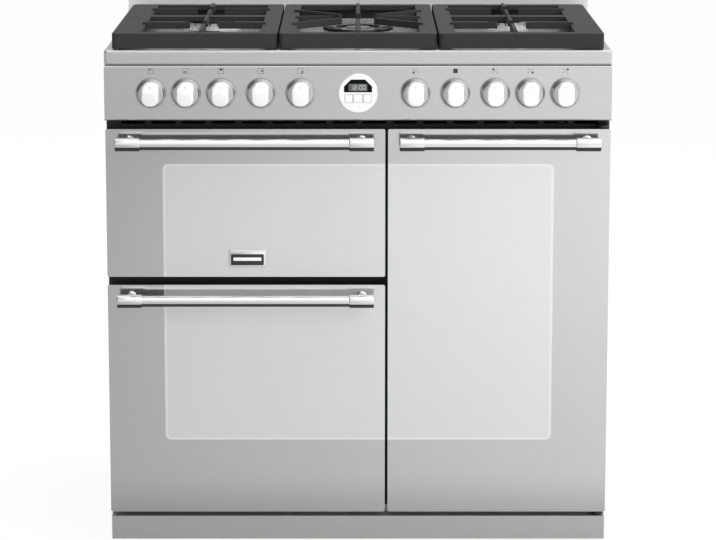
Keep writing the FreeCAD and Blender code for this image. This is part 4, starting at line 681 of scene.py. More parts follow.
@dataclass
class Knobs:
    """Ten chromed knobs: a stepped skirt, a round body and a broad upright grip with a crowned front."""

    count: int = 10
    shafted: int = 5
    skirt_mm: float = 53.0
    body_mm: float = 49.0
    gap_mm: float = 3.0
    skirt_depth_mm: float = 8.0
    body_depth_mm: float = 15.0
    soft_mm: float = 1.2
    grip_wide_mm: float = 32.0
    grip_tall_mm: float = 44.0
    grip_depth_mm: float = 17.0
    grip_corner: float = 0.42
    crown_mm: float = 3.0
    shaft_mm: float = 8.0
    pointer_level_mm: float = 12.5
    pointer_mm: tuple[float, float, float] = (1.2, 6.0, 0.5)
    pointer_sunk_mm: float = 0.35
    # Share of the grip's depth, and share of its width that is left there.
    sides: tuple[tuple[float, float], ...] = (
        (-0.10, 1.00), (0.10, 0.98), (0.40, 0.96), (0.65, 0.95), (0.82, 0.94), (0.92, 0.90), (0.98, 0.84))
    # Shares of the width over the crowned front, from its edge to its middle.
    front: tuple[float, ...] = (0.76, 0.60, 0.40, 0.20, 0.06)

    def build(self) -> None:
        """Make each knob where its CAD node is."""
        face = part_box("fascia_panel")[0].y
        for number in range(1, self.count + 1):
            name = f"knob_{number:02d}"
            low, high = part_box(name)
            centre = Vector(((low.x + high.x) / 2, face, (low.z + high.z) / 2))
            mesh = bmesh.new()
            self.add_body(mesh, centre)
            turned = len(mesh.faces)
            self.add_grip(mesh, centre)
            # The grip takes the nearly white finish: a painted highlight against the chrome body.
            for side in mesh.faces[turned:]:
                side.material_index = 1
            if number <= self.shafted:
                self.add_shaft(mesh, centre, high.y)
            piece = piece_from(f"{name}_chromed", mesh, name, "knob_chrome", [name])
            piece.data.materials.append(PAINT.get("grip_chrome"))
            self.add_pointer(name, centre)

    def add_body(self, mesh: Mesh, centre: Vector) -> None:
        """Add the turned skirt and body, with a step between them.

        Args:
            mesh: The bmesh that gets them.
            centre: The knob's axis, on the fascia.
        """
        skirt, body, soft = self.skirt_mm / 2 * MM, self.body_mm / 2 * MM, self.soft_mm * MM
        gap, rim, front = self.gap_mm * MM, self.skirt_depth_mm * MM, self.body_depth_mm * MM
        profile: Outline = [(skirt - soft, gap)]
        profile += soft_corner((skirt, gap + soft / 2), (skirt, rim - soft), (skirt - soft, rim))
        profile += soft_corner((body + soft / 2, rim), (body, rim), (body - soft / 2, rim + soft))
        profile += soft_corner((body - soft, front - 3 * soft), (body - soft, front),
                               (body - 4 * soft, front), steps=6)
        add_turned(mesh, profile, Matrix.Translation(centre) @ TOWARD_FRONT, steps=56)

    def add_grip(self, mesh: Mesh, centre: Vector) -> None:
        """Add the upright grip: slightly waisted sides, a rounded edge and a crowned front.

        Args:
            mesh: The bmesh that gets it.
            centre: The knob's axis, on the fascia.
        """
        start, wide, tall = self.body_depth_mm * MM, self.grip_wide_mm * MM, self.grip_tall_mm * MM
        crown, deep = self.crown_mm * MM, (self.grip_depth_mm - self.crown_mm) * MM
        edge = self.front[0]
        loops = []
        for share, left in self.sides + tuple((1.0, left) for left in self.front):
            if left < edge:
                height = (tall - wide * (1 - edge)) * left / edge
            else:
                height = tall - wide * (1 - left)
            outline = rounded_outline(wide * left, height, wide * left * self.grip_corner, 6)
            bulge = crown * max(share, 0.0) ** 2
            loops.append([mesh.verts.new(centre + Vector((
                x, -start - deep * share - bulge * (1 - (2 * z / tall) ** 2), z))) for x, z in outline])
        add_stack(mesh, loops)

    def add_shaft(self, mesh: Mesh, centre: Vector, end_y: float) -> None:
        """Add the shaft that runs back to the oven control.

        Args:
            mesh: The bmesh that gets it.
            centre: The knob's axis, on the fascia.
            end_y: Where the shaft ends.
        """
        radius = self.shaft_mm / 2 * MM
        add_turned(mesh, [(radius, centre.y - end_y), (radius, self.gap_mm * MM)],
                   Matrix.Translation(centre) @ TOWARD_FRONT, steps=24)

    def add_pointer(self, name: str, centre: Vector) -> None:
        """Add the grey line near the top of the grip that shows the setting.

        Args:
            name: The knob's name, which is also its body's.
            centre: The knob's axis, on the fascia.
        """
        mesh = bmesh.new()
        front = (self.body_depth_mm + self.grip_depth_mm) * MM
        level = self.pointer_level_mm * MM
        drop = self.crown_mm * MM * (2 * level / (self.grip_tall_mm * MM)) ** 2
        wide, tall, thick = (size * MM for size in self.pointer_mm)
        add_slab(mesh, centre + Vector((0, -front + drop + self.pointer_sunk_mm * MM, level)),
                 (wide, tall, thick), corner=0.5 * MM, edge=0.15 * MM, steps=2)
        piece_from(f"{name}_pointer", mesh, name, "print_grey")


@dataclass
class DoorHandles:
    """A chromed bar in front of each door, held by a sleeve and a post at each end, with a painted dark
    reflection along its lower side.
    """

    doors: tuple[str, ...] = ("upper", "lower", "right")
    bar_mm: float = 20.0
    bar_inset_mm: float = 4.0
    sleeve_mm: float = 24.0
    sleeve_long_mm: float = 44.0
    sleeve_soft_mm: float = 1.6
    post_mm: float = 15.0
    foot_mm: float = 21.0
    # The painted dark reflection lies between these angles, counted from straight ahead and down round the bar.
    bar_core_from: float = 22.0
    sleeve_core_from: float = 14.0
    core_to: float = 235.0
    # A face this little outside a radius still counts as lying on it.
    slack_mm: float = 0.5

    def build(self) -> None:
        """Make the three handles where their CAD nodes are."""
        for door in self.doors:
            node = f"{door}_door_handle"
            low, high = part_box(node)
            level = (low.z + high.z) / 2
            bar_y = low.y + self.sleeve_mm / 2 * MM
            mesh = bmesh.new()
            self.add_bar(mesh, low.x, high.x, bar_y, level)
            for start in (low.x, high.x - self.sleeve_long_mm * MM):
                self.add_end(mesh, start, bar_y, level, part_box(f"{door}_door_glass")[0].y)
            # The lower and rear faces take a painted dark reflection.
            self.paint_dark_reflection(mesh, bar_y, level)
            piece = piece_from(f"{node}_chromed", mesh, f"{door}_door", "chrome", [node])
            piece.data.materials.append(PAINT.get("handle_core"))

    def paint_dark_reflection(self, mesh: Mesh, bar_y: float, level: float) -> None:
        """Paint a dark reflection on the lower and rear faces of the bar and its sleeves, with the darker
        finish.

        Args:
            mesh: The bmesh of the handle.
            bar_y: The depth of the bar's axis.
            level: The height of the bar's axis.
        """
        bar_limit = (self.bar_mm / 2 + self.slack_mm) * MM
        sleeve_limit = (self.sleeve_mm / 2 + self.slack_mm) * MM
        for face in mesh.faces:
            spot = face.calc_center_median()
            away = Vector((spot.y - bar_y, spot.z - level))
            below_front = math.degrees(math.atan2(-away.y, -away.x)) % 360
            along_bar = abs(face.normal.x) < 0.5 and away.length < sleeve_limit
            start = self.sleeve_core_from if away.length > bar_limit else self.bar_core_from
            if along_bar and start <= below_front <= self.core_to:
                face.material_index = 1

    def add_bar(self, mesh: Mesh, left: float, right: float, bar_y: float, level: float) -> None:
        """Add the bar between its sleeves.

        Args:
            mesh: The bmesh that gets it.
            left: Where the handle starts.
            right: Where the handle ends.
            bar_y: The depth of the bar's axis.
            level: The height of the bar's axis.
        """
        radius, inset = self.bar_mm / 2 * MM, self.bar_inset_mm * MM
        add_turned(mesh, [(radius, inset), (radius, right - left - inset)],
                   Matrix.Translation((left, bar_y, level)) @ ALONG_X, steps=40)

    def add_end(self, mesh: Mesh, start: float, bar_y: float, level: float, glass_y: float) -> None:
        """Add one sleeve with rounded ends, its post and the foot on the glass.

        Args:
            mesh: The bmesh that gets them.
            start: The sleeve's left end.
            bar_y: The depth of the bar's axis.
            level: The height of the bar's axis.
            glass_y: The depth of the door's face.
        """
        radius, long, soft = self.sleeve_mm / 2 * MM, self.sleeve_long_mm * MM, self.sleeve_soft_mm * MM
        profile = soft_corner((radius - soft, 0), (radius, 0), (radius, soft))
        profile += soft_corner((radius, long - soft), (radius, long), (radius - soft, long))
        add_turned(mesh, profile, Matrix.Translation((start, bar_y, level)) @ ALONG_X, steps=40)
        post, foot, reach = self.post_mm / 2 * MM, self.foot_mm / 2 * MM, glass_y - bar_y
        profile = [(foot, -reach), (foot, -reach + soft), (foot - soft, -reach + 2 * soft)]
        profile += soft_corner((post, -0.4 * reach), (post, -0.05 * reach), (post * 0.8, 0.0))
        middle = Matrix.Translation((start + long / 2, bar_y, level))
        add_turned(mesh, profile, middle @ TOWARD_FRONT, steps=32)


@dataclass
class Burners:
    """Enamelled caps with soft edges, and the igniter and flame sensor beside each burner."""

    cap_high_mm: float = 6.0
    undercut_mm: float = 1.0
    rim_from_mm: float = 0.8
    cap_soft_mm: float = 2.2
    # How far under a cap's top the bend of its rim leans, and where the bend ends.
    rim_under_mm: tuple[float, float] = (0.4, 0.9)
    # Shares of the radius over the slight dome, and how far each is under the top, in millimetres.
    dome: tuple[tuple[float, float], ...] = ((0.7, 0.3), (0.35, 0.0), (0.02, 0.0))
    ring_wide_mm: float = 24.0
    ring_soft_mm: float = 2.0
    # A cap with a radius above this is the wok burner's, and becomes a ring and a small cap in it.
    ring_from_mm: float = 60.0
    centre_cap_mm: float = 46.0
    # A cap whose middle is within its own radius and this of the wok's is the small one in the ring.
    nested_mm: float = 10.0
    fitting_gap_mm: float = 3.5
    fitting_below_mm: float = 15.0
    # The share of their reach that the fittings stand to the side and to the front, as on a diagonal.
    fitting_diagonal: float = 0.72
    igniter_tall_mm: float = 13.0
    sensor_tall_mm: float = 11.0
    ceramic_mm: float = 4.8
    ceramic_foot_mm: float = 3.0
    # How far under its fitting's height the ceramic starts to narrow and ends, and by how much it narrows.
    ceramic_under_mm: tuple[float, float] = (4.0, 3.0)
    ceramic_narrows_mm: float = 0.8
    wire_mm: float = 1.6
    # How far under that height the wire starts, and its tip: how much narrower, and how far past it.
    wire_under_mm: float = 3.2
    wire_tip_mm: tuple[float, float] = (0.3, 0.6)

    def build(self, frame: dict[str, Any]) -> None:
        """Make the caps and small fittings.
        """
        caps = self.read_caps(frame["nodes"]["burner_caps"])
        mesh, fittings, wires = bmesh.new(), bmesh.new(), bmesh.new()
        for centre, radius in caps:
            if radius > self.ring_from_mm * MM:
                self.add_ring(mesh, centre, radius)
                self.add_cap(mesh, centre, self.centre_cap_mm / 2 * MM)
            else:
                self.add_cap(mesh, centre, radius)
            self.add_fittings(fittings, wires, centre, radius)
        piece_from("burner_caps_enamelled", mesh, "cabinet", "black_enamel", ["burner_caps"])
        piece_from("igniter_ceramics", fittings, "cabinet", "ceramic")
        piece_from("igniter_wires", wires, "cabinet", "steel")

    def read_caps(self, node: bpy.types.Object) -> list[tuple[Vector, float]]:
        """Find each cap's place from the CAD node's loose parts, without the small cap in the wok's ring.

        Args:
            node: The CAD node of all caps.

        Returns:
            The middle of each cap's underside, and its radius.
        """
        mesh = bmesh.new()
        mesh.from_mesh(node.data)
        bmesh.ops.remove_doubles(mesh, verts=mesh.verts[:], dist=0.01 * MM)
        seen: set[bmesh.types.BMVert] = set()
        caps: list[tuple[Vector, float]] = []
        for vert in mesh.verts:
            if vert in seen:
                continue
            island, queue = [], [vert]
            seen.add(vert)
            while queue:
                now = queue.pop()
                island.append(now.co.copy())
                for edge in now.link_edges:
                    other = edge.other_vert(now)
                    if other not in seen:
                        seen.add(other)
                        queue.append(other)
            low = Vector([min(co[axis] for co in island) for axis in range(3)])
            high = Vector([max(co[axis] for co in island) for axis in range(3)])
            centre = Vector(((low.x + high.x) / 2, (low.y + high.y) / 2, high.z - self.cap_high_mm * MM))
            caps.append((centre, (high.x - low.x) / 2))
        mesh.free()
        biggest = max(caps, key=lambda cap: cap[1])
        clear = self.nested_mm * MM
        return [cap for cap in caps if cap is biggest or (cap[0] - biggest[0]).length > cap[1] + clear]

    def add_cap(self, mesh: Mesh, centre: Vector, radius: float) -> None:
        """Add a lid with a rounded rim and a slight dome.

        Args:
            mesh: The bmesh that gets it.
            centre: The middle of its underside.
            radius: The lid's radius.
        """
        high, soft = self.cap_high_mm * MM, self.cap_soft_mm * MM
        profile: Outline = [(radius - self.undercut_mm * MM, 0)]
        lean, end = (high - under * MM for under in self.rim_under_mm)
        profile += soft_corner((radius, self.rim_from_mm * MM), (radius, lean), (radius - soft, end), steps=6)
        profile += [(radius * share, high - under * MM) for share, under in self.dome]
        add_turned(mesh, profile, Matrix.Translation(centre), steps=56)

    def add_ring(self, mesh: Mesh, centre: Vector, radius: float) -> None:
        """Add the ring lid of the wok burner.

        Args:
            mesh: The bmesh that gets it.
            centre: The middle of its underside.
            radius: The ring's outer radius.
        """
        high, soft = self.cap_high_mm * MM, self.ring_soft_mm * MM
        inner = radius - self.ring_wide_mm * MM
        section: Outline = [(inner, 0), (radius - self.undercut_mm * MM, 0)]
        section += soft_corner((radius, self.rim_from_mm * MM), (radius, high), (radius - soft, high),
                               steps=5)
        section += soft_corner((inner + soft, high), (inner, high), (inner, high - soft), steps=5)
        add_turned(mesh, section, Matrix.Translation(centre), steps=64, ring=True)

    def add_fittings(self, ceramics: Mesh, wires: Mesh, centre: Vector, radius: float) -> None:
        """Add the igniter's ceramic and tip, and the flame sensor on the other side.

        Args:
            ceramics: The bmesh that gets the ceramics.
            wires: The bmesh that gets the metal tips.
            centre: The middle of the cap's underside.
            radius: The cap's radius.
        """
        away = (radius + self.fitting_gap_mm * MM) * self.fitting_diagonal
        body, wire = self.ceramic_mm / 2 * MM, self.wire_mm / 2 * MM
        for sign, tall_mm in ((1, self.igniter_tall_mm), (-1, self.sensor_tall_mm)):
            tall = tall_mm * MM
            place = Matrix.Translation((centre.x + sign * away, centre.y - away,
                                        centre.z - self.fitting_below_mm * MM))
            neck, top = (tall - under * MM for under in self.ceramic_under_mm)
            add_turned(ceramics, [(body, self.ceramic_foot_mm * MM), (body, neck),
                                  (body - self.ceramic_narrows_mm * MM, top)], place, steps=16)
            narrower, past = (size * MM for size in self.wire_tip_mm)
            add_turned(wires, [(wire, tall - self.wire_under_mm * MM), (wire, tall),
                               (wire - narrower, tall + past)], place, steps=12)


@dataclass
class FasciaPrint:
    """Small symbols above the knobs, printed in grey and dark ink, and ticks round the knobs."""

    knobs: int = 10
    oven_knobs: int = 5
    wok_knob: int = 7
    rise_mm: float = 39.5
    size_mm: float = 9.5
    line_mm: float = 0.8
    thick_mm: float = 0.12
    fine_line_mm: float = 0.5
    # Where the ticks start and end, from the knob's axis.
    tick_mm: tuple[float, float] = (28.6, 30.0)
    # How far round an oven knob's and a gas knob's ticks go, in degrees, and how many they are.
    oven_ticks: tuple[float, int] = (270.0, 7)
    gas_ticks: tuple[float, int] = (-210.0, 4)
    # No tick points more nearly upward than this, since the mark is there.
    upright: float = 0.985
    # Shares of a mark's size: the run and the width of the line that makes a patch, the wok's square, a dot,
    # and a ring's radius.
    patch: tuple[float, float] = (0.15, 0.36)
    wok_wide: float = 0.85
    dot_wide: float = 0.34
    ring_radius: float = 0.14
    # The knob whose patch is dark, and where the patch of each oven knob lies in its frame.
    dark_oven: int = 3
    oven_spots: tuple[tuple[float, float], ...] = (
        (-0.2, 0.2), (-0.2, -0.2), (0.0, 0.25), (0.22, 0.0), (0.22, -0.2))
    # Where each burner lies in the plan of the hob, in shares of the mark's size.
    burner_spots: tuple[tuple[float, float], ...] = (
        (-0.4, -0.3), (0.0, 0.0), (-0.4, 0.3), (0.4, -0.3), (0.4, 0.3))

    def build(self) -> None:
        """Print a frame or a plan above each knob, and the ticks of its settings round it."""
        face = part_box("fascia_panel")[0].y
        light, dark = bmesh.new(), bmesh.new()
        for number in range(1, self.knobs + 1):
            centre = middle_of(f"knob_{number:02d}")
            spot = Vector((centre.x, face, centre.z + self.rise_mm * MM))
            if number <= self.oven_knobs:
                self.add_oven_mark(light, dark, spot, number)
            else:
                self.add_burner_mark(light, dark, spot, number)
            self.add_scale(light, Vector((centre.x, face, centre.z)), number)
        piece_from("fascia_marks", light, "cabinet", "print_grey")
        piece_from("fascia_marks_dark", dark, "cabinet", "print_dark")

    def add_line(self, mesh: Mesh, start: Vector, end: Vector, wide: float) -> None:
        """Add one printed line as a very thin plate.

        Args:
            mesh: The bmesh that gets it.
            start: Its first point, on the fascia.
            end: Its last point.
            wide: The line's width, by half of which it also passes its two points.
        """
        along = (end - start).normalized() * (wide / 2)
        side = Vector((-along.z, 0, along.x))
        lift = Vector((0, -self.thick_mm * MM, 0))
        corners = [start - along - side, end + along - side, end + along + side, start - along + side]
        add_stack(mesh, [[mesh.verts.new(corner) for corner in corners],
                         [mesh.verts.new(corner + lift) for corner in corners]])

    def add_ring(self, mesh: Mesh, centre: Vector, radius: float, wide: float) -> None:
        """Add a printed ring.

        Args:
            mesh: The bmesh that gets it.
            centre: The ring's middle, on the fascia.
            radius: Its outer radius.
            wide: The width of its line.
        """
        thick = self.thick_mm * MM
        section = [(radius - wide, 0.0), (radius - wide, thick), (radius, thick), (radius, 0.0)]
        add_turned(mesh, section, Matrix.Translation(centre) @ TOWARD_FRONT, steps=20, ring=True)

    def add_frame(self, mesh: Mesh, centre: Vector, size: float) -> None:
        """Add the four lines of a printed square.

        Args:
            mesh: The bmesh that gets them.
            centre: The square's middle, on the fascia.
            size: The length of its side.
        """
        corners = [centre + Vector((x * size / 2, 0, z * size / 2))
                   for x, z in ((-1, -1), (1, -1), (1, 1), (-1, 1))]
        for start, end in zip(corners, corners[1:] + corners[:1]):
            self.add_line(mesh, start, end, self.line_mm * MM)

    def add_oven_mark(self, light: Mesh, dark: Mesh, spot: Vector, number: int) -> None:
        """Print an oven frame with the part of the cooker that the knob serves filled in.

        Args:
            light: The bmesh of the grey ink.
            dark: The bmesh of the dark ink.
            spot: The mark's middle, on the fascia.
            number: The knob's number.
        """
        size = self.size_mm * MM
        self.add_frame(light, spot, size)
        x, z = self.oven_spots[number - 1]
        centre = spot + Vector((x * size, 0, z * size))
        self.add_line(dark if number == self.dark_oven else light, centre,
                      centre + Vector((size * self.patch[0], 0, 0)), size * self.patch[1])

    def add_burner_mark(self, light: Mesh, dark: Mesh, spot: Vector, number: int) -> None:
        """Print the plan of the hob as small rings with the knob's burner dark, or the wok's dark square.

        Args:
            light: The bmesh of the grey ink.
            dark: The bmesh of the dark ink.
            spot: The mark's middle, on the fascia.
            number: The knob's number.
        """
        size = self.size_mm * MM
        if number == self.wok_knob:
            self.add_line(dark, spot, spot + Vector((0.1 * MM, 0, 0)), size * self.wok_wide)
            return
        for at, (x, z) in enumerate(self.burner_spots, start=self.oven_knobs + 1):
            centre = spot + Vector((x * size, 0, z * size))
            if at == number:
                self.add_line(dark, centre, centre + Vector((0.3 * MM, 0, 0)), size * self.dot_wide)
            else:
                self.add_ring(light, centre, size * self.ring_radius, self.fine_line_mm * MM)

    def add_scale(self, mesh: Mesh, centre: Vector, number: int) -> None:
        """Print short ticks round the knob at its settings, but none where the mark above it is.

        Args:
            mesh: The bmesh that gets them.
            centre: The knob's axis, on the fascia.
            number: The knob's number.
        """
        turn, count = self.oven_ticks if number <= self.oven_knobs else self.gas_ticks
        near, far = self.tick_mm
        for step in range(count):
            angle = math.radians(90 - turn * step / (count - 1))
            outward = Vector((math.cos(angle), 0, math.sin(angle)))
            if outward.z < self.upright:
                self.add_line(mesh, centre + outward * near * MM, centre + outward * far * MM,
                              self.fine_line_mm * MM)


@dataclass
class JointFold:
    """The plated fold of the carcass that stands behind the joint under the hob's lip and closes it."""

    behind_mm: float = 3.2
    thick_mm: float = 1.5
    lap_mm: float = 0.1
    side_inset_mm: float = 2.0

    def build(self) -> None:
        """Make the fold between the fascia's top and the lip's lower edge."""
        low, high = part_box("fascia_panel")
        under_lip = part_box("hob_top")[0].z
        tall = under_lip - high.z + 2 * self.lap_mm * MM
        back = low.y + (self.behind_mm + self.thick_mm) * MM
        wide = high.x - low.x - 2 * self.side_inset_mm * MM
        mesh = bmesh.new()
        add_slab(mesh, Vector((0, back, (under_lip + high.z) / 2)), (wide, tall, self.thick_mm * MM),
                 corner=0.1 * MM, edge=0.1 * MM, steps=1)
        piece_from("hob_joint_fold", mesh, "cabinet", "steel")


@dataclass
class ClockFace:
    """The clock's grey digit window with plain figures and a colon."""

    window_mm: tuple[float, float, float] = (33.0, 13.0, 0.3)
    rise_mm: float = 10.5
    digit_high_mm: float = 7.5
    digit_wide_mm: float = 4.2
    stroke_mm: float = 0.8
    thick_mm: float = 0.15
    dot_mm: float = 0.9
    dot_rise_mm: float = 1.7
    figures: tuple[tuple[float, str], ...] = ((-11.0, "1"), (-5.0, "2"), (5.0, "0"), (11.0, "0"))

    def build(self) -> None:
        """Make the window and its figures on the display."""
        bezel_low, bezel_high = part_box("clock_bezel")
        centre_x = (bezel_low.x + bezel_high.x) / 2
        level = (bezel_low.z + bezel_high.z) / 2 + self.rise_mm * MM
        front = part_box("clock_display")[0].y
        wide, high, thick = (size * MM for size in self.window_mm)
        mesh = bmesh.new()
        add_slab(mesh, Vector((centre_x, front, level)), (wide, high, thick), corner=0.8 * MM,
                 edge=0.1 * MM, steps=2)
        piece_from("clock_window", mesh, "cabinet", "lcd_grey")
        lit = bmesh.new()
        for x, figure in self.figures:
            self.add_figure(lit, Vector((centre_x + x * MM, front - thick, level)), figure)
        for sign in (-1, 1):
            dot = Vector((centre_x, front - thick, level + sign * self.dot_rise_mm * MM))
            add_slab(lit, dot, (self.dot_mm * MM, self.dot_mm * MM, self.thick_mm * MM), corner=0.2 * MM,
                     edge=0.05 * MM, steps=1)
        piece_from("clock_figures", lit, "cabinet", "lcd_digit")

    def add_figure(self, mesh: Mesh, centre: Vector, figure: str) -> None:
        """Add one seven-segment figure.

        Args:
            mesh: The bmesh that gets it.
            centre: The figure's middle, on the window.
            figure: One of the plain digits 0, 1 or 2.
        """
        lit = {"0": "abcdef", "1": "bc", "2": "abged"}[figure]
        wide, tall = self.digit_wide_mm / 2 * MM, self.digit_high_mm / 2 * MM
        stroke, thick = self.stroke_mm * MM, self.thick_mm * MM
        # Each segment's place, and whether it lies flat.
        places = {"a": (0, tall, 1), "g": (0, 0, 1), "d": (0, -tall, 1), "b": (wide, tall / 2, 0),
                  "c": (wide, -tall / 2, 0), "f": (-wide, tall / 2, 0), "e": (-wide, -tall / 2, 0)}
        for key in lit:
            x, z, flat = places[key]
            size = (2 * wide - stroke, stroke, thick) if flat else (stroke, tall - stroke, thick)
            add_slab(mesh, centre + Vector((x, 0, z)), size, corner=stroke * 0.3, edge=0.05 * MM, steps=1)


@dataclass
class DoorPlate:
    """The small bright-rimmed plate low on the upper door, with a plain face."""

    centre_x_mm: float = -198.0
    level_mm: float = 526.0
    # Piece and finish, then in millimetres its width, height, thickness, corner and edge, and how far forward
    # and down it is set.
    layers: tuple[tuple[Any, ...], ...] = (
        ("plate_rim", "chrome", 66.0, 31.0, 1.8, 3.5, 0.8, 0.0, 0.0),
        ("plate_face", "badge_dark", 59.0, 20.0, 0.4, 2.0, 0.15, 1.7, 2.5),
        ("plate_bar", "grip_chrome", 50.0, 6.0, 0.3, 1.0, 0.12, 2.1, 1.5))

    def build(self) -> None:
        """Make the rim, the dark plate in it and the plain satin bar across the plate."""
        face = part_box("upper_door_glass")[0].y
        spot = Vector((self.centre_x_mm * MM, face, self.level_mm * MM))
        for name, finish, wide, high, thick, corner, edge, forward, down in self.layers:
            mesh = bmesh.new()
            add_slab(mesh, spot + Vector((0, -forward * MM, -down * MM)), (wide * MM, high * MM, thick * MM),
                     corner * MM, edge * MM)
            piece_from(name, mesh, "upper_door", finish)


@dataclass(frozen=True)
class Softbox:
    """A square lamp: where it hangs, the point that it faces, the length of its side and its power."""

    name: str
    spot: tuple[float, float, float]
    aim: tuple[float, float, float]
    size: float
    watts: float

    def build(self) -> None:
        """Hang the lamp, and keep it out of reflections, where it would be a white patch."""
        lamp = bpy.data.lights.new(self.name, "AREA")
        lamp.size = self.size
        lamp.energy = self.watts
        holder = put_in_scene(self.name, lamp)
        holder.location = self.spot
        holder.visible_glossy = False
        holder.rotation_euler = (Vector(self.aim) - Vector(self.spot)).to_track_quat("-Z", "Y").to_euler()


# How bright metal and glass see the floor: darker close to the cooker, and brighter toward the right.
FLOOR_NEAR: Settings = {"interpolation_type": "SMOOTHSTEP", "From Min": 0.40, "From Max": 0.80,
                        "To Min": 0.56, "To Max": 0.90}
FLOOR_AWAY: Settings = {"From Min": 0.8, "From Max": 3.0, "To Min": 0.97, "To Max": 1.12}
FLOOR_ACROSS: Settings = {"From Min": -0.8, "From Max": 0.8, "To Min": 0.51, "To Max": 1.09}
# How bright they see the room, by direction: across, round a dark screen, overhead and behind.
ROOM_ACROSS: Settings = {"From Min": -0.4, "From Max": 0.4, "To Min": 0.66, "To Max": 1.04}
ROOM_SCREEN: Settings = {"interpolation_type": "SMOOTHSTEP", "From Min": 0.62, "From Max": 0.85,
                         "To Min": 1.0, "To Max": 0.10}
ROOM_ABOVE: Settings = {"interpolation_type": "SMOOTHSTEP", "From Min": 0.25, "From Max": 0.75,
                        "To Min": 1.0, "To Max": 1.5}
ROOM_BEHIND: Settings = {"From Min": 0.5, "From Max": 0.9, "To Min": 1.0, "To Max": 0.62}


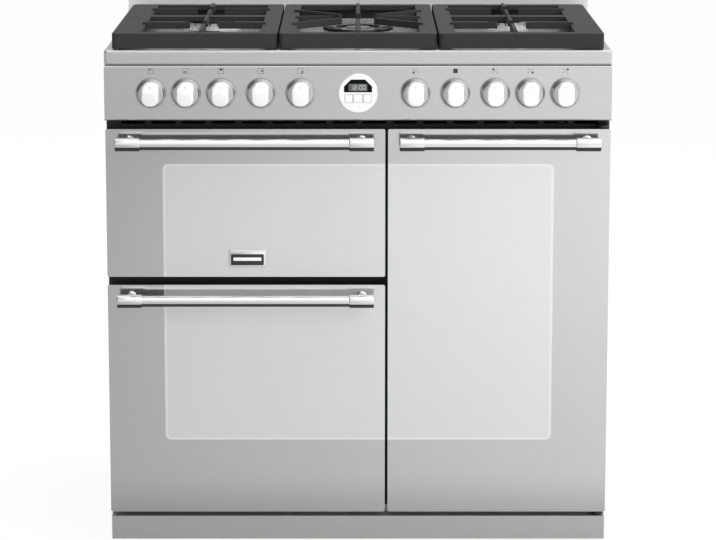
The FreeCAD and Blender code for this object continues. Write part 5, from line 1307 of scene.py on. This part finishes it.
@dataclass
class Studio:
    """The pale floor, the soft lamps, the surroundings that metal mirrors, and the camera."""

    lamps: tuple[Softbox, ...] = (
        Softbox("key_softbox", (2.6, -3.2, 2.3), (-0.1, 0.0, 0.5), 2.2, 70.0),
        Softbox("fill_softbox", (-3.2, -2.2, 1.9), (0.0, 0.0, 0.5), 2.0, 30.0),
        Softbox("top_softbox", (0.2, -0.4, 3.4), (0.0, 0.0, 0.8), 2.4, 45.0),
        Softbox("rear_softbox", (1.2, 3.6, 2.2), (0.0, 0.0, 0.5), 2.2, 55.0))
    floor_size: float = 60.0
    floor_colour: str = "f4f4f3"
    # The glow takes this much of what the camera sees of the floor. The paint has the rest, which is enough
    # to show the cooker's shadow.
    floor_glow: float = 0.93
    depth_weights: tuple[float, float, float] = (0.3, 1.0, 1.0)
    screen_way: tuple[float, float, float] = (-0.8, -0.3, 0.5)
    camera_back: float = 5.155
    camera_high: float = 1.4944
    camera_down: float = 10.457
    lens: float = 147.3
    shift_y: float = -0.0296

    def build(self) -> None:
        """Make the whole studio."""
        self.add_floor()
        self.add_world()
        for lamp in self.lamps:
            lamp.build()
        self.add_camera()
        bpy.context.scene.view_settings.view_transform = "Standard"

    def add_floor(self) -> None:
        """Lay a pale floor that stays white to the eye and keeps the cooker's shadow."""
        mesh = bmesh.new()
        bmesh.ops.create_grid(mesh, x_segments=2, y_segments=2, size=self.floor_size / 2)
        data = bpy.data.meshes.new("studio_floor")
        mesh.to_mesh(data)
        mesh.free()
        floor = put_in_scene("studio_floor", data)
        material = empty_material("pale_studio_floor")
        tree = material.node_tree
        paint = add_node(tree, "ShaderNodeBsdfDiffuse", {"Color": linear(self.floor_colour)})
        glow = add_node(tree, "ShaderNodeEmission", {"Color": (1, 1, 1, 1), "Strength": 1.0})
        path = add_node(tree, "ShaderNodeLightPath")
        share = add_node(tree, "ShaderNodeMapRange", {"To Max": self.floor_glow},
                         {"Value": path.outputs["Is Camera Ray"]})
        seen = add_node(tree, "ShaderNodeMixShader", {},
                        {0: share.outputs["Result"], 1: paint.outputs["BSDF"], 2: glow.outputs["Emission"]})
        mirrored = add_node(tree, "ShaderNodeEmission", {}, {"Strength": self.floor_in_metal(tree)})
        mix = add_node(tree, "ShaderNodeMixShader", {},
                       {0: path.outputs["Is Glossy Ray"], 1: seen.outputs["Shader"],
                        2: mirrored.outputs["Emission"]})
        add_node(tree, "ShaderNodeOutputMaterial", {}, {"Surface": mix.outputs["Shader"]})
        floor.data.materials.append(material)

    def floor_in_metal(self, tree: Tree) -> Socket:
        """Add how bright the floor is in the metal: darker close to the cooker and towards the left.

        Args:
            tree: The floor material's tree.

        Returns:
            The strength of the light from the floor.
        """
        spot = add_node(tree, "ShaderNodeTexCoord").outputs["Object"]
        axes = add_node(tree, "ShaderNodeSeparateXYZ", {}, {"Vector": spot})
        ahead = add_node(tree, "ShaderNodeVectorMath", {"operation": "MULTIPLY", 1: self.depth_weights},
                         {0: spot})
        far = add_node(tree, "ShaderNodeVectorMath", {"operation": "LENGTH"}, {0: ahead.outputs["Vector"]})
        near = add_node(tree, "ShaderNodeMapRange", FLOOR_NEAR, {"Value": far.outputs["Value"]})
        away = add_node(tree, "ShaderNodeMapRange", FLOOR_AWAY, {"Value": far.outputs["Value"]})
        across = add_node(tree, "ShaderNodeMapRange", FLOOR_ACROSS, {"Value": axes.outputs["X"]})
        depth = add_node(tree, "ShaderNodeMath", {"operation": "MULTIPLY"},
                         {0: near.outputs["Result"], 1: away.outputs["Result"]})
        both = add_node(tree, "ShaderNodeMath", {"operation": "MULTIPLY"},
                        {0: depth.outputs["Value"], 1: across.outputs["Result"]})
        return both.outputs["Value"]

    def add_world(self) -> None:
        """Surround the cooker with white for the eye, and with a grey sweep for metal."""
        world = bpy.data.worlds.new("studio_world")
        bpy.context.scene.world = world
        world.use_nodes = True
        tree = world.node_tree
        tree.nodes.clear()
        path = add_node(tree, "ShaderNodeLightPath")
        level = add_node(tree, "ShaderNodeMix", {"data_type": "FLOAT", 3: 1.0},
                         {0: path.outputs["Is Camera Ray"], 2: self.room_in_metal(tree)})
        backdrop = add_node(tree, "ShaderNodeBackground", {"Color": (1, 1, 1, 1)},
                            {"Strength": level.outputs[0]})
        add_node(tree, "ShaderNodeOutputWorld", {}, {"Surface": backdrop.outputs["Background"]})

    def room_in_metal(self, tree: Tree) -> Socket:
        """Add how bright the room is in the metal: brighter to the right and overhead, with a dark screen.

        Args:
            tree: The world's tree.

        Returns:
            The strength of the light from the room.
        """
        way = add_node(tree, "ShaderNodeTexCoord").outputs["Generated"]
        axes = add_node(tree, "ShaderNodeSeparateXYZ", {}, {"Vector": way})
        toward = add_node(tree, "ShaderNodeVectorMath",
                          {"operation": "DOT_PRODUCT", 1: Vector(self.screen_way).normalized()}, {0: way})
        sweep = add_node(tree, "ShaderNodeMapRange", ROOM_ACROSS, {"Value": axes.outputs["X"]})
        screen = add_node(tree, "ShaderNodeMapRange", ROOM_SCREEN, {"Value": toward.outputs["Value"]})
        above = add_node(tree, "ShaderNodeMapRange", ROOM_ABOVE, {"Value": axes.outputs["Z"]})
        behind = add_node(tree, "ShaderNodeMapRange", ROOM_BEHIND, {"Value": axes.outputs["Y"]})
        shaded = add_node(tree, "ShaderNodeMath", {"operation": "MULTIPLY"},
                          {0: sweep.outputs["Result"], 1: screen.outputs["Result"]})
        ringed = add_node(tree, "ShaderNodeMath", {"operation": "MULTIPLY"},
                          {0: above.outputs["Result"], 1: behind.outputs["Result"]})
        around = add_node(tree, "ShaderNodeMath", {"operation": "MULTIPLY"},
                          {0: shaded.outputs["Value"], 1: ringed.outputs["Value"]})
        return around.outputs["Value"]

    def add_camera(self) -> None:
        """Stand the camera in front of the cooker, above its middle and looking a little down."""
        data = bpy.data.cameras.new("front_camera")
        data.lens = self.lens
        data.sensor_width = 36.0
        data.shift_y = self.shift_y
        data.clip_end = 100.0
        camera = put_in_scene("front_camera", data)
        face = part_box("upper_door_glass")[0].y
        camera.location = (0.0, face - self.camera_back, self.camera_high)
        camera.rotation_euler = Euler((math.radians(90 - self.camera_down), 0, 0))
        bpy.context.scene.camera = camera


def main() -> None:
    """Load the frame, dress it and add the finer pieces and the studio."""
    logging.basicConfig(level=logging.INFO, format="%(name)s: %(message)s")
    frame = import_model()
    CarriedNodes().dress(frame)
    Knobs().build()
    DoorHandles().build()
    Burners().build(frame)
    FasciaPrint().build()
    JointFold().build()
    ClockFace().build()
    DoorPlate().build()
    Studio().build()


if __name__ == "__main__":
    main()
